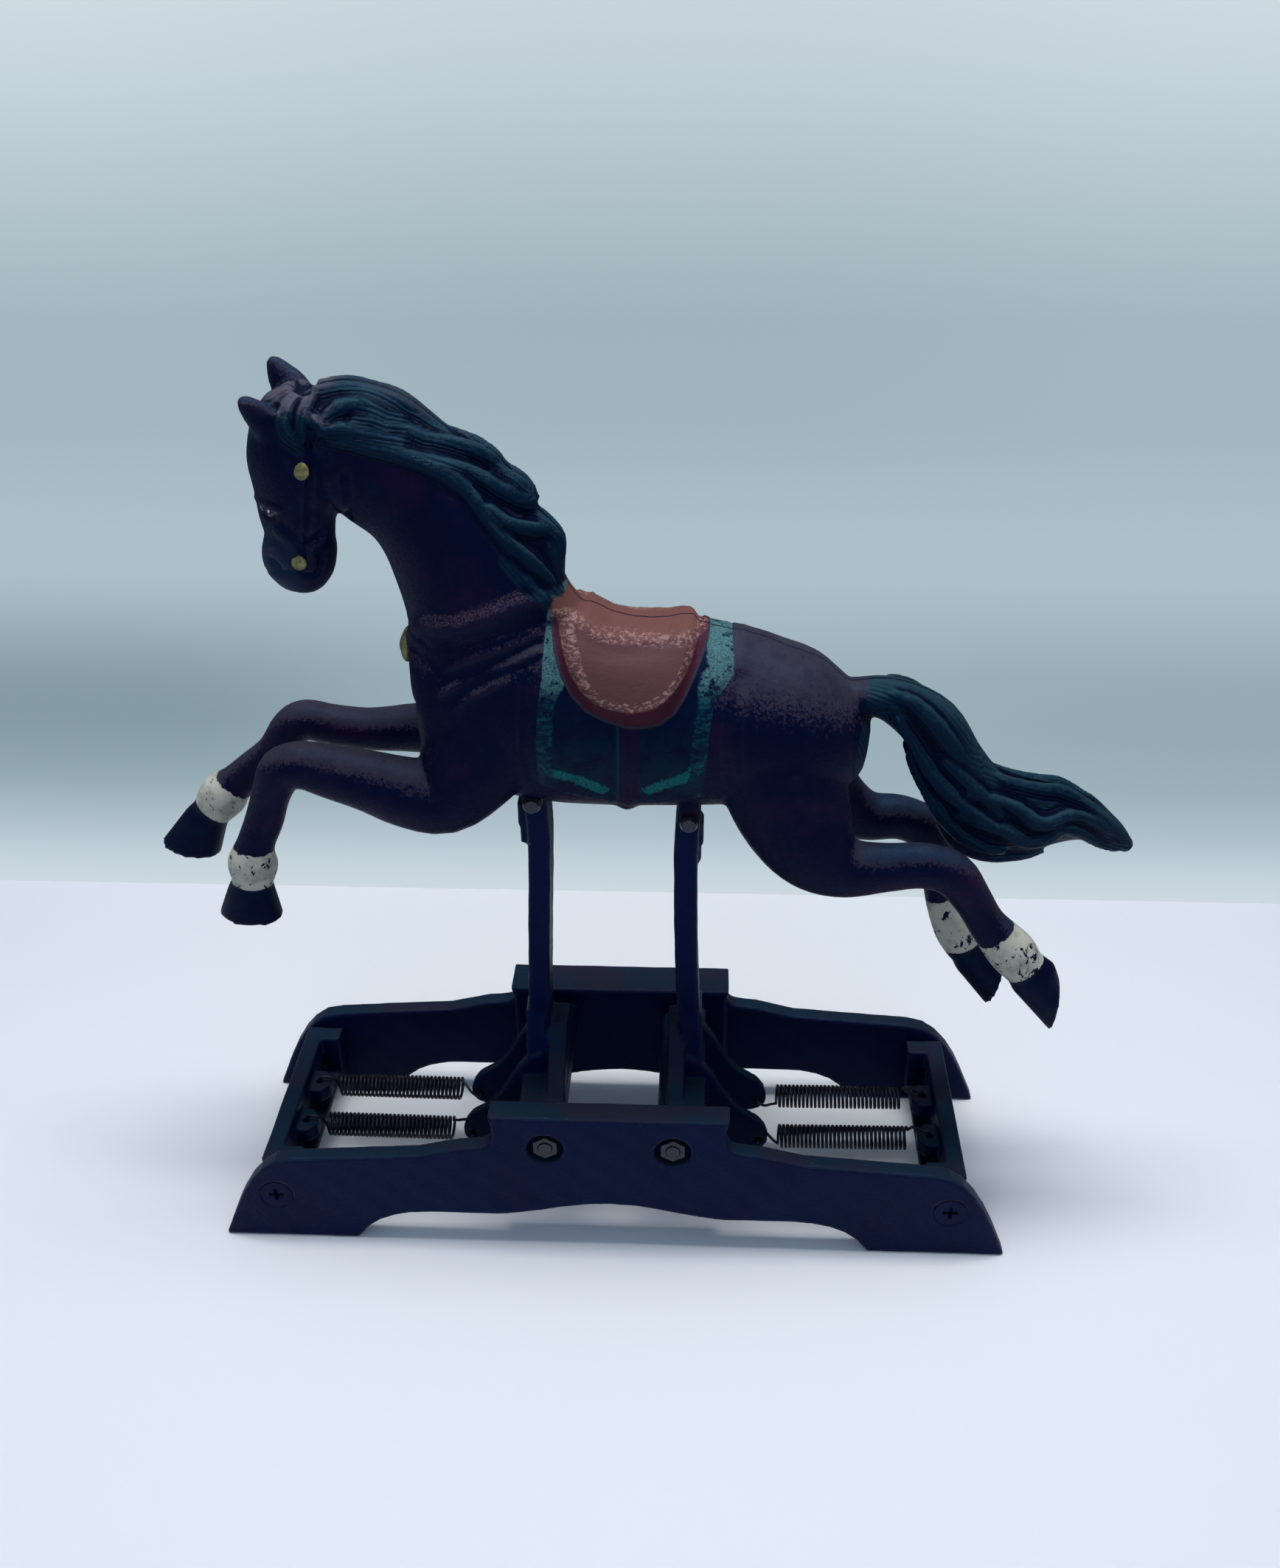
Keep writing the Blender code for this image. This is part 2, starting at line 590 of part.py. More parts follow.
def build_rail(side):
    """A rail as three faces drawn on its outer side, extruded, with the pad drawn further inwards."""
    outer, inner, pad_face = rail_faces(side)
    pad_side, wing, arch = rail_runs()
    half_pad = pad_side + arch
    pad_outline = half_pad + [(0, ARCH_HEIGHT)] + [(-x, z) for x, z in reversed(half_pad)]
    bm = bmesh.new()
    corners = {}

    def corner(x, z):
        key = (round(x, 3), round(z, 3))
        if key not in corners:
            corners[key] = bm.verts.new(Vector((x, outer, z)) * MM)
        return corners[key]

    faces = [bm.faces.new([corner(x, z) for x, z in outline])
             for outline in (pad_outline, wing, [(-x, z) for x, z in reversed(wing)])]
    bmesh.ops.recalc_face_normals(bm, faces=faces)
    made = bmesh.ops.extrude_face_region(bm, geom=faces)
    bmesh.ops.translate(bm, verts=new_verts(made), vec=(0, (inner - outer) * MM, 0))
    pad = [item for item in made["geom"] if isinstance(item, bmesh.types.BMFace)
           and {vert.co.x > 0 for vert in item.verts} == {True, False}]
    made = bmesh.ops.extrude_face_region(bm, geom=pad)
    bmesh.ops.translate(bm, verts=new_verts(made), vec=(0, (pad_face - inner) * MM, 0))
    bmesh.ops.delete(bm, geom=[face for face in pad if face.is_valid], context="FACES_ONLY")
    bmesh.ops.recalc_face_normals(bm, faces=bm.faces[:])
    bm.normal_update()
    caps = [plane * MM for plane in (outer, inner, pad_face)]
    rim = [edge for edge in bm.edges
           if edge.is_manifold and edge.calc_face_angle_signed() > math.radians(60)
           and any(all(abs(vert.co.y - cap) < 1e-7 for vert in edge.verts) for cap in caps)]
    bmesh.ops.bevel(bm, geom=rim, offset=CAST_EDGE * MM, offset_type="OFFSET", segments=1, profile=0.5,
                    affect="EDGES", material=-1, clamp_overlap=True)
    rail = new_solid(bm)
    holes = []
    for lever in LEVERS.values():
        x, z = pivot_point(lever)
        start = (x, outer + side, z)
        holes.append(bar(start, (x, pad_face - side, z), PIVOT_BOLT_DIAMETER / 2 + CLEARANCE, sides=16))
        holes.append(bar(start, (x, outer - side * RECESS_DEPTH, z), RECESS_DIAMETER / 2, sides=20))
    shank = END_SCREW_DIAMETER / 2 + CLEARANCE
    head = END_SCREW_HEAD_DIAMETER / 2 + CLEARANCE
    slope = (head - shank) / END_SCREW_HEAD_DEPTH
    cone_end = outer - side * (END_SCREW_HEAD_DEPTH + CONE_OVERRUN)
    for end in (-1, 1):
        x = end * (BASE_LENGTH / 2 - END_SCREW_INSET)
        start = (x, outer + side, END_SCREW_HEIGHT)
        holes.append(bar(start, (x, inner - side, END_SCREW_HEIGHT), shank, sides=18))
        holes.append(bar(start, (x, cone_end, END_SCREW_HEIGHT), head + slope,
                         shank - CONE_OVERRUN * slope))
    return cut(rail, *holes)


def cross_face(end):
    """The x of a cross piece's outer face, inner face and lug hole; end is -1 at the front."""
    outer = end * (BASE_LENGTH / 2 - CROSS_OUTSET)
    inner = outer - end * CROSS_THICKNESS
    return outer, inner, inner - end * LUG_HOLE_INSET


def build_cross_piece(end):
    outer, inner, hole = cross_face(end)
    left = rail_faces(-1)[1] + CLEARANCE
    right = rail_faces(1)[1] - CLEARANCE
    low, high = sorted((outer, inner))
    outline = [(left, CROSS_BOTTOM), (right, CROSS_BOTTOM), (right, CROSS_TOP), (left, CROSS_TOP)]
    plate = extrude(outline, "YZ", low, high, CAST_EDGE, CAST_EDGE)
    overlap = inner + end
    low, high = sorted((overlap, inner - end * FLANGE_REACH))
    additions = [block((low, left, CROSS_BOTTOM), (high, right, CROSS_BOTTOM + FLANGE_HEIGHT))]
    low, high = sorted((overlap, inner - end * BOSS_REACH))
    for y_low, y_high in ((left, left + BOSS_DEPTH), (right - BOSS_DEPTH, right)):
        additions.append(block((low, y_low, CROSS_BOTTOM), (high, y_high, CROSS_TOP - CLEARANCE)))
    tip = inner - end * LUG_REACH
    for side in (-1, 1):
        middle = side * ARM_OFFSET
        half = LUG_WIDTH / 2
        bm = bmesh.new()
        corners = [(overlap, middle - half), (tip + end * 2.5, middle - half), (tip, middle - half + 3),
                   (tip, middle + half - 3), (tip + end * 2.5, middle + half), (overlap, middle + half)]
        face = bm.faces.new([bm.verts.new(Vector((x, y, LUG_TOP)) * MM) for x, y in corners])
        made = bmesh.ops.extrude_face_region(bm, geom=[face])
        bmesh.ops.translate(bm, verts=new_verts(made), vec=Vector((0, 0, -LUG_HEIGHT * MM)))
        additions.append(new_solid(bm))
    unite(plate, *additions)
    holes = [bar((hole, y, LUG_TOP + 1), (hole, y, LUG_TOP - LUG_HEIGHT - 1), LUG_HOLE_DIAMETER / 2,
                 sides=12) for y in (-ARM_OFFSET, ARM_OFFSET)]
    x = end * (BASE_LENGTH / 2 - END_SCREW_INSET)
    for y_low, y_high in ((left - 1, left + BOSS_DEPTH + 1), (right - BOSS_DEPTH - 1, right + 1)):
        holes.append(bar((x, y_low, END_SCREW_HEIGHT), (x, y_high, END_SCREW_HEIGHT),
                         END_SCREW_DIAMETER / 2 + CLEARANCE))
    return cut(plate, *holes)


def build_end_screw(end, side):
    """A countersunk screw with a cross recess, its head flush with the rail."""
    outer = rail_faces(side)[0]
    x = end * (BASE_LENGTH / 2 - END_SCREW_INSET)
    face = outer - side * 0.1
    neck = face - side * END_SCREW_HEAD_DEPTH
    tip = outer - side * END_SCREW_LENGTH
    head = bar((x, face, END_SCREW_HEIGHT), (x, neck, END_SCREW_HEIGHT), END_SCREW_HEAD_DIAMETER / 2,
               END_SCREW_DIAMETER / 2, sides=24)
    shank = bar((x, neck + side * 0.5, END_SCREW_HEIGHT), (x, tip, END_SCREW_HEIGHT),
                END_SCREW_DIAMETER / 2, sides=16)
    screw = unite(head, shank)
    low, high = sorted((face + side, face - side * END_SLOT_DEPTH))
    slots = [block((x - long, low, END_SCREW_HEIGHT - tall), (x + long, high, END_SCREW_HEIGHT + tall))
             for long, tall in (END_SLOT_HALVES, END_SLOT_HALVES[::-1])]
    return cut(screw, *slots)


def build_pivot_bolt(lever):
    x, z = pivot_point(lever)
    nut_seat = rail_faces(-1)[0] + RECESS_DEPTH
    head_seat = rail_faces(1)[0] - RECESS_DEPTH
    shank = bar((x, nut_seat - NUT_THICKNESS - BOLT_END, z), (x, head_seat + 1, z),
                PIVOT_BOLT_DIAMETER / 2, sides=16)
    head = bar((x, head_seat + CLEARANCE, z), (x, head_seat + CLEARANCE + NUT_THICKNESS, z),
               NUT_FLATS / math.sqrt(3), sides=6)
    return unite(shank, head)


def build_pivot_nut(lever):
    x, z = pivot_point(lever)
    seat = rail_faces(-1)[0] + RECESS_DEPTH - CLEARANCE
    body = bar((x, seat, z), (x, seat - NUT_THICKNESS, z), NUT_FLATS / math.sqrt(3), sides=6)
    hole = bar((x, seat + 1, z), (x, seat - NUT_THICKNESS - 1, z), PIVOT_BOLT_DIAMETER / 2 + CLEARANCE,
               sides=16)
    return cut(body, hole)


def outward(lever, points):
    """Points given outwards and upwards from the lower pivot, as x and z."""
    x, z = pivot_point(lever)
    return [(x + lever["side"] * out, z + up) for out, up in points]


def arm_outline():
    """A spring arm in side view: over the top, round the tip and back underneath."""
    tip_out, tip_up = ARM_TIP
    points = bend((3.0, 14.0), (13.0, 13.0), (14.0, tip_up + 14.0), (tip_out - 3.0, tip_up + 10.0), 7)
    points += bend((tip_out - 3.0, tip_up + 10.0), (tip_out + 1.2, tip_up + 8.2),
                   (tip_out + 4.0, tip_up + 2.5), (tip_out + 2.9, tip_up - 1.2), 4)
    points += bend((tip_out + 2.9, tip_up - 1.2), (tip_out + 1.6, tip_up - 4.6),
                   (tip_out - 3.5, tip_up - 5.2), (tip_out - 7.0, tip_up - 4.4), 4)
    points += bend((tip_out - 7.0, tip_up - 4.4), (tip_out - 14.0, tip_up - 2.8),
                   (6.0, -9.0), (3.0, -HUB_DEPTH), 5)
    return points + [(3.0, -HUB_DEPTH)]


def build_lever(lever):
    side = lever["side"]
    half_width = lever["half_width"]
    x, z = pivot_point(lever)
    pin_up = PIN_HEIGHT - lever["pin_drop"]
    pin_x, pin_z = pin_point(lever)
    half_depth = POST_DEPTH / 2
    left_end = rail_faces(-1)[2] + CLEARANCE
    right_end = rail_faces(1)[2] - CLEARANCE

    middle_out = lever["middle_out"]
    pin_out = lever["pin_out"]
    line = refine([(FOOT_OUT, 2.0), (middle_out + 0.9, pin_up * 0.28), (middle_out, pin_up * 0.5),
                   (pin_out - 0.9, pin_up * 0.86), (pin_out, pin_up)], 2)
    edge = [(out - half_width, up) for out, up in line[:-1]]
    edge += arc((pin_out, pin_up), half_width, 180, 0, 8)
    edge += [(out + half_width, up) for out, up in reversed(line[:-1])]
    post = extrude(outward(lever, edge), "XZ", -half_depth, half_depth, CAST_EDGE, CAST_EDGE)
    foot_outs = (FOOT_OUT - half_width, FOOT_OUT - 0.6 + half_width)
    foot_low, foot_high = sorted(x + side * out for out in foot_outs)
    foot_face = ARM_OFFSET + ARM_THICKNESS / 2 - CAST_EDGE
    foot = extrude([(-half_depth, z + 27), (-foot_face, z + 11), (-foot_face, z - 3), (foot_face, z - 3),
                    (foot_face, z + 11), (half_depth, z + 27)], "YZ", foot_low, foot_high)
    arm_half = ARM_THICKNESS / 2
    arms = [extrude(outward(lever, arm_outline()), "XZ", middle - arm_half, middle + arm_half,
                    CAST_EDGE, CAST_EDGE) for middle in (-ARM_OFFSET, ARM_OFFSET)]
    hub_in, hub_out = lever["hub"]
    pull = -HUB_DEPTH * 1.1
    hub_outline = [(hub_in, HUB_TOP)]
    hub_outline += bend((hub_in, -1.0), (hub_in, pull), (hub_out, pull), (hub_out, -1.0), 8)
    hub_outline += [(hub_out, -1.0), (hub_out, HUB_TOP)]
    hub = extrude(outward(lever, hub_outline), "XZ", left_end, right_end)
    collar = bar((x, left_end, z), (x, right_end, z), PIVOT_BOLT_DIAMETER / 2 + 3.2, sides=24)
    web_low, web_high = sorted((x + side * lever["web"][0], x + side * lever["web"][1]))
    web_half = WEB_TOP_WIDTH / 2
    slope_end = web_half + WEB_SLOPE_WIDTH
    web = extrude([(-slope_end, z + HUB_TOP), (-web_half, z + WEB_TOP), (web_half, z + WEB_TOP),
                   (slope_end, z + HUB_TOP), (slope_end, z - 2), (-slope_end, z - 2)],
                  "YZ", web_low, web_high)
    stop_top, stop_step, stop_bottom = STOP_LEVELS
    stop_outs = (half_width / 2, lever["stop_out"] - STOP_STEP, lever["stop_out"])
    stop_outline = [(stop_outs[0], stop_top), (stop_outs[2], stop_top), (stop_outs[2], stop_step),
                    (stop_outs[1], stop_step), (stop_outs[1], stop_bottom), (stop_outs[0], stop_bottom)]
    stop = extrude([(pin_x + side * out, pin_z + up) for out, up in stop_outline], "XZ", -STOP_DEPTH / 2,
                   STOP_DEPTH / 2)
    unite(post, foot, *arms, hub, collar, web, stop)

    eye_clearance = CLEARANCE if side < 0 else OPEN_PIVOT_CLEARANCE
    holes = [bar((x, left_end - 1, z), (x, right_end + 1, z), PIVOT_BOLT_DIAMETER / 2 + CLEARANCE),
             bar((pin_x, -half_depth - 1, pin_z), (pin_x, half_depth + 1, pin_z),
                 TOP_PIN_DIAMETER / 2 + eye_clearance)]
    tip_x, tip_z = outward(lever, [ARM_TIP])[0]
    for middle in (-ARM_OFFSET, ARM_OFFSET):
        holes.append(bar((tip_x, middle - ARM_THICKNESS, tip_z), (tip_x, middle + ARM_THICKNESS, tip_z),
                         SPRING_HOLE_DIAMETER / 2, sides=12))
    return cut(post, *holes)


def spring_path(lever, side):
    """The wire's centre line: lug hook, curls, then the hook through the arm's tip."""
    end = lever["side"]
    y = side * ARM_OFFSET
    hole_x = cross_face(end)[2]
    tip_x, tip_z = outward(lever, [ARM_TIP])[0]
    curl_radius = (SPRING_DIAMETER - WIRE_DIAMETER) / 2
    first = Vector((hole_x - end * COIL_TO_LUG, y, LUG_TOP - 1.5))
    last = Vector((tip_x + end * COIL_TO_TIP, y, tip_z + 0.5))
    axis = (last - first).normalized()
    up = Vector((0, 0, 1))
    up = (up - axis * up.dot(axis)).normalized()
    across = axis.cross(up)
    phase = math.pi if end < 0 else 0.0
    curls = []
    for step in range(SPRING_CURLS * POINTS_PER_CURL + POINTS_PER_CURL // 2 + 1):
        share = step / (SPRING_CURLS * POINTS_PER_CURL + POINTS_PER_CURL // 2)
        angle = phase + 2 * math.pi * step / POINTS_PER_CURL
        curls.append(first.lerp(last, share) + up * curl_radius * math.cos(angle)
                     + across * curl_radius * math.sin(angle))
    lug_bottom = LUG_TOP - LUG_HEIGHT
    rise = LUG_TOP + 1.4
    start = curls[0]
    lug_hook = [Vector((hole_x, y, lug_bottom - 2.0)), Vector((hole_x, y, lug_bottom - 0.6)),
                Vector((hole_x, y, lug_bottom + LUG_HEIGHT / 2)), Vector((hole_x, y, LUG_TOP + 0.3)),
                Vector((hole_x - end * 0.8, y, rise)), Vector((hole_x - end * 2.4, y, rise + 0.3))]
    if end < 0:
        lug_hook += [Vector((hole_x - end * 4.7, y, rise - 0.3)),
                     Vector((hole_x - end * 6.2, y, (rise + start.z) / 2 + 0.6))]
    else:
        lug_hook += [Vector((hole_x - end * 4.4, y, rise + 1.4)),
                     Vector((hole_x - end * 5.9, y, (rise + start.z) / 2 + 1.6))]
    finish_point = curls[-1]
    beside = y - side * (ARM_THICKNESS / 2 + 1.3)
    beyond = y + side * (ARM_THICKNESS / 2 + 1.4)
    tip_hook = [finish_point + Vector((-end * 1.6, -side * 1.0, (tip_z - finish_point.z) * 0.25)),
                Vector((tip_x + end * 2.6, beside, tip_z + (finish_point.z - tip_z) * 0.35)),
                Vector((tip_x + end * 0.5, beside, tip_z)),
                Vector((tip_x, y - side * (ARM_THICKNESS / 2), tip_z)), Vector((tip_x, y, tip_z)),
                Vector((tip_x, beyond, tip_z))]
    return lug_hook + curls + tip_hook


def least_gap(points, reach):
    """The least gap between two stretches of wire that are further apart along it than reach."""
    lengths = [0.0]
    for start, end in zip(points, points[1:]):
        lengths.append(lengths[-1] + (end - start).length)
    gaps = [(a - b).length for i, a in enumerate(points) for j, b in enumerate(points)
            if lengths[j] - lengths[i] > reach]
    return min(gaps) - WIRE_DIAMETER


def build_spring(lever, side):
    points = spring_path(lever, side)
    curve = bpy.data.curves.new("spring", "CURVE")
    curve.dimensions = "3D"
    curve.bevel_depth = WIRE_DIAMETER / 2 * MM
    curve.bevel_resolution = 1
    curve.use_fill_caps = True
    spline = curve.splines.new("POLY")
    spline.points.add(len(points) - 1)
    for target, point in zip(spline.points, points):
        target.co = (*(point * MM), 1.0)
    spring = bpy.data.objects.new("spring", curve)
    bpy.context.scene.collection.objects.link(spring)
    print("spring: least gap to itself", round(least_gap(points, SPRING_DIAMETER * 1.6), 2), "mm")
    return spring


def build_top_pin(lever):
    x, z = pin_point(lever)
    lug_face = POST_DEPTH / 2 + CLEARANCE + BELLY_LUG_THICKNESS
    head = lug_face + CLEARANCE
    pin = bar((x, -head - 0.5, z), (x, head + 0.5, z), TOP_PIN_DIAMETER / 2, sides=16)
    heads = [bar((x, side * head, z), (x, side * (head + TOP_PIN_HEAD_DEPTH), z),
                 TOP_PIN_HEAD_DIAMETER / 2, TOP_PIN_HEAD_DIAMETER / 2 - 0.6) for side in (-1, 1)]
    return unite(pin, *heads)


def swell(stations, rise):
    """The same form grown by rise all round, or shrunk by a negative one."""
    return [(x, y, z, depth + rise, width + rise) for x, y, z, depth, width in stations]


def both_sides(route):
    """A route drawn on the left side, then its mirror image on the right."""
    return route, [(x, -y, z) for x, y, z in route]


def hair_locks():
    """Locks of mane, forelock and tail, thick in the middle and thin at the tip."""
    locks = []
    last = len(LOCK_TAPER) - 1
    for route, radius in LOCKS:
        for points in both_sides(route):
            stations = []
            for index, point in enumerate(points):
                place = index * last / (len(points) - 1)
                before = min(int(place), last - 1)
                step = LOCK_TAPER[before + 1] - LOCK_TAPER[before]
                size = radius * (LOCK_TAPER[before] + step * (place - before))
                stations.append((*point, size * LOCK_WIDTH, size * LOCK_RISE))
            locks.append(loft(refine(stations, 3), 8))
    return locks


def strap(route, half_width, half_thickness):
    """A flat strap laid along a route on both sides."""
    return [loft(refine([(*point, half_width, half_thickness) for point in points], 3), 8)
            for points in both_sides(route)]


def facet(solid, count):
    """Thin a solid's mesh to about count triangles."""
    triangles = sum(len(face.vertices) - 2 for face in solid.data.polygons)
    reduce = solid.modifiers.new("facet", "DECIMATE")
    reduce.ratio = count / triangles
    return bake(solid)


def build_horse_body():
    """The whole outer form of the horse as one blended skin."""
    forms = [loft(refine(TRUNK, 3), 28), loft(refine(NECK, 3), 24), loft(refine(HEAD, 3), 20),
             loft(refine(CHIN, 2), 12), loft(refine(TAIL, 3), 12), loft(refine(MANE_BED, 2), 12),
             loft(BREAST_BOSS, 16)]
    forms += [loft(refine(ear, 3), 8) for ear in EARS.values()]
    forms += [loft(refine(leg, 3), 14) for leg in LEGS.values()]
    forms += [loft(hoof["stations"], 16, hoof["sole"]) for hoof in HOOVES.values()]
    forms += hair_locks()
    forms += strap(BREAST_STRAP, STRAP_HALF_WIDTH, STRAP_HALF_THICKNESS)
    forms += strap(GIRTH, GIRTH_HALF_WIDTH, STRAP_HALF_THICKNESS)
    body = gather(forms)
    remesh = body.modifiers.new("blend", "REMESH")
    remesh.mode = "VOXEL"
    remesh.voxel_size = VOXEL * MM
    smooth = body.modifiers.new("soften", "SMOOTH")
    smooth.factor = 0.5
    smooth.iterations = 3
    bake(body)
    return facet(body, HORSE_FACETS)


def raised_panel(stations, outline):
    """A pad that follows its stations inside an outline drawn in side view."""
    return keep_inside(loft(stations, 28), extrude(refine(outline, 2), "XZ", -40.0, 40.0))


def build_horse():
    """Both halves of the horse, in the standing pose on the top pins."""
    body = build_horse_body()
    blanket = raised_panel(swell(TRUNK, BLANKET_RISE), BLANKET_OUTLINE)
    unite(body, blanket, raised_panel(SADDLE, SADDLE_OUTLINE))
    core = loft(swell(TRUNK[1:-1], -WALL), 16)
    bosses = []
    screw_holes = []
    for x, z in BODY_SCREWS.values():
        bosses.append(bar((x, -16, z), (x, 16, z), BODY_SCREW_BOSS_DIAMETER / 2, sides=16))
        screw_holes.append(bar((x, -BODY_SCREW_GRIP - 1, z), (x, 30, z),
                               BODY_SCREW_DIAMETER / 2 + CLEARANCE, sides=12))
        screw_holes.append(bar((x, BODY_SCREW_SEAT, z), (x, 30, z),
                               BODY_SCREW_HEAD_DIAMETER / 2 + CLEARANCE, sides=16))
    cut(core, *bosses)
    cut(body, core)
    for solid in (body, *screw_holes):
        solid.data.transform(Matrix.Translation(horse_offset() * MM))

    slots = []
    lugs = []
    inner = POST_DEPTH / 2 + CLEARANCE
    outer = inner + BELLY_LUG_THICKNESS
    for lever in LEVERS.values():
        x, z = pin_point(lever)
        reach = lever["half_width"] + SWING_ROOM
        slots.append(block((x - reach, -inner, z - SLOT_DROP), (x + reach, inner, z + SLOT_RISE)))
        outline = arc((x, z), BELLY_LUG_RADIUS, 180, 360, 10)
        outline += [(x + BELLY_LUG_RADIUS, z + BELLY_LUG_RISE),
                    (x - BELLY_LUG_RADIUS, z + BELLY_LUG_RISE)]
        for low, high in ((-outer, 1 - inner), (inner - 1, outer)):
            lugs.append(extrude(outline, "XZ", low, high))
    unite(body, *lugs)
    cut(body, *slots)
    for lever in LEVERS.values():
        x, z = pin_point(lever)
        screw_holes.append(bar((x, -outer - 6, z), (x, outer + 6, z),
                               TOP_PIN_DIAMETER / 2 + CLEARANCE, sides=16))
        for side in (-1, 1):
            screw_holes.append(bar((x, side * outer, z), (x, side * (outer + 6), z),
                                   TOP_PIN_HEAD_DIAMETER / 2 + CLEARANCE, sides=20))
    cut(body, *screw_holes)

    right = bpy.data.objects.new("right", body.data.copy())
    bpy.context.scene.collection.objects.link(right)
    gap = CLEARANCE / 2
    keep_inside(body, block((-200, -60, 0), (200, -gap, 320)))
    keep_inside(right, block((-200, gap, 0), (200, 60, 320)))
    return body, right


def build_body_screw(place):
    """A cheese head screw that goes in from the right half."""
    x, z = place
    seat = BODY_SCREW_SEAT + CLEARANCE
    shank = bar((x, -BODY_SCREW_GRIP, z), (x, BODY_SCREW_SEAT + 1, z), BODY_SCREW_DIAMETER / 2, sides=12)
    head = bar((x, seat, z), (x, seat + BODY_SCREW_HEAD_DEPTH, z), BODY_SCREW_HEAD_DIAMETER / 2, sides=16)
    return unite(shank, head)


def main():
    clear_scene()
    black_iron = paint("black_iron", (0.018, 0.018, 0.028), 0.5)
    bay_paint = paint("bay_paint", (0.05, 0.012, 0.018), 0.55)
    dark_steel = paint("dark_steel", (0.03, 0.03, 0.04), 0.4, 0.8)

    toy = carrier("toy", (0.0, 0.0, 0.0))
    base = carrier("base", (0.0, 0.0, 0.0), toy)
    axes = {}
    for name, lever in LEVERS.items():
        x, z = pivot_point(lever)
        axes[name] = carrier(f"{name}_lever_axis", (x, 0.0, z), toy)
    x, z = pin_point(LEVERS["front"])
    horse_axis = carrier("horse_axis", (x, 0.0, z), toy)

    for side, side_name in ((-1, "left"), (1, "right")):
        finish(build_rail(side), f"{side_name}_side_rail", black_iron, base)
    for end, end_name in ((-1, "front"), (1, "rear")):
        finish(build_cross_piece(end), f"{end_name}_cross_piece", black_iron, base)
        for side, side_name in ((-1, "left"), (1, "right")):
            finish(build_end_screw(end, side), f"{end_name}_{side_name}_end_screw", dark_steel, base)
    for name, lever in LEVERS.items():
        finish(build_pivot_bolt(lever), f"{name}_pivot_bolt", dark_steel, base)
        finish(build_pivot_nut(lever), f"{name}_pivot_nut", dark_steel, base)
        finish(build_lever(lever), f"{name}_lever", black_iron, axes[name])
        finish(build_top_pin(lever), f"{name}_top_pin", dark_steel, horse_axis)
        for side, side_name in ((-1, "left"), (1, "right")):
            finish(build_spring(lever, side), f"{name}_{side_name}_spring", dark_steel, base)
    left, right = build_horse()
    finish(left, "left_horse_half", bay_paint, horse_axis)
    finish(right, "right_horse_half", bay_paint, horse_axis)
    for name, (x, z) in BODY_SCREWS.items():
        place = Vector((x, 0, z)) + horse_offset()
        finish(build_body_screw((place.x, place.z)), f"{name}_body_screw", dark_steel, horse_axis)

    bpy.context.view_layer.update()
    xs = [(half.matrix_world @ vert.co).x for half in (left, right) for vert in half.data.vertices]
    toy.location.x = -(min(xs) + max(xs)) / 2
    bpy.context.view_layer.update()
    for empty in (axes["front"], axes["rear"], horse_axis):
        print(empty.name, [round(value, 5) for value in empty.matrix_world.translation])
    x, z = pin_point(LEVERS["rear"])
    print("rear top pin", round(toy.location.x + x * MM, 5), z * MM)


main()
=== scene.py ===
import math
import bmesh
import bpy
import numpy as np
from mathutils import Matrix, Vector


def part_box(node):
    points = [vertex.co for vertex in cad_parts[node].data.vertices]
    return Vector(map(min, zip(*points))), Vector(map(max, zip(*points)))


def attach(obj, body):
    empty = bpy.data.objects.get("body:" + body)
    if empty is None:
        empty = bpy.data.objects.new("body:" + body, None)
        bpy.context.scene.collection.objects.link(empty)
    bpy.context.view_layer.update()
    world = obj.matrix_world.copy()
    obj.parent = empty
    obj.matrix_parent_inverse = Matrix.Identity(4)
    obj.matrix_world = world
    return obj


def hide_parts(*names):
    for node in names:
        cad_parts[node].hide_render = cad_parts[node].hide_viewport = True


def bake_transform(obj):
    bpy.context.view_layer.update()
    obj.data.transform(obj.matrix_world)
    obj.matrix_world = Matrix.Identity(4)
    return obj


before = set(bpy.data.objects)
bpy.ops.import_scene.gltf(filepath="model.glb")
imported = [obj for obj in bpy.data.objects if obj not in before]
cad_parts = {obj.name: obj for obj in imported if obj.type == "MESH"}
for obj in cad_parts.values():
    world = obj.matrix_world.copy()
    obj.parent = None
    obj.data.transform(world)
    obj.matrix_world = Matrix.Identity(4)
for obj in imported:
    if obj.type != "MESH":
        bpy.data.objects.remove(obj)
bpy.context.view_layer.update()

mm = 0.001
railLow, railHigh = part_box("left_side_rail")
midX = (railLow.x + railHigh.x) / 2 / mm  # the base's middle; all sizes below are mm from the floor under it
farAway = 1e3  # a distance in mm that stands for nowhere near
offMark = 50.0  # and the one in a paint mark, where the mark has no place
print("frame loaded, base middle at", round(midX, 2), "mm")


# general tools

def linkNew(name, data):
    obj = bpy.data.objects.new(name, data)
    bpy.context.scene.collection.objects.link(obj)
    return obj


def meshFrom(name, bm):
    mesh = bpy.data.meshes.new(name)
    bm.to_mesh(mesh)
    bm.free()
    return mesh


def finishMesh(name, bm, normals=True):
    if normals:
        bmesh.ops.recalc_face_normals(bm, faces=bm.faces[:])
    mesh = meshFrom(name, bm)
    mesh.shade_smooth()
    return linkNew(name, mesh)


def evaluatedMesh(obj):
    return bpy.data.meshes.new_from_object(obj.evaluated_get(bpy.context.evaluated_depsgraph_get()))


def bakeDown(obj):
    mesh = evaluatedMesh(obj)
    obj.modifiers.clear()
    obj.data = mesh


def coatWith(mesh, material):
    mesh.materials.clear()
    mesh.materials.append(material)


def placed(x, y, z):
    return Vector((x + midX, y, z)) * mm


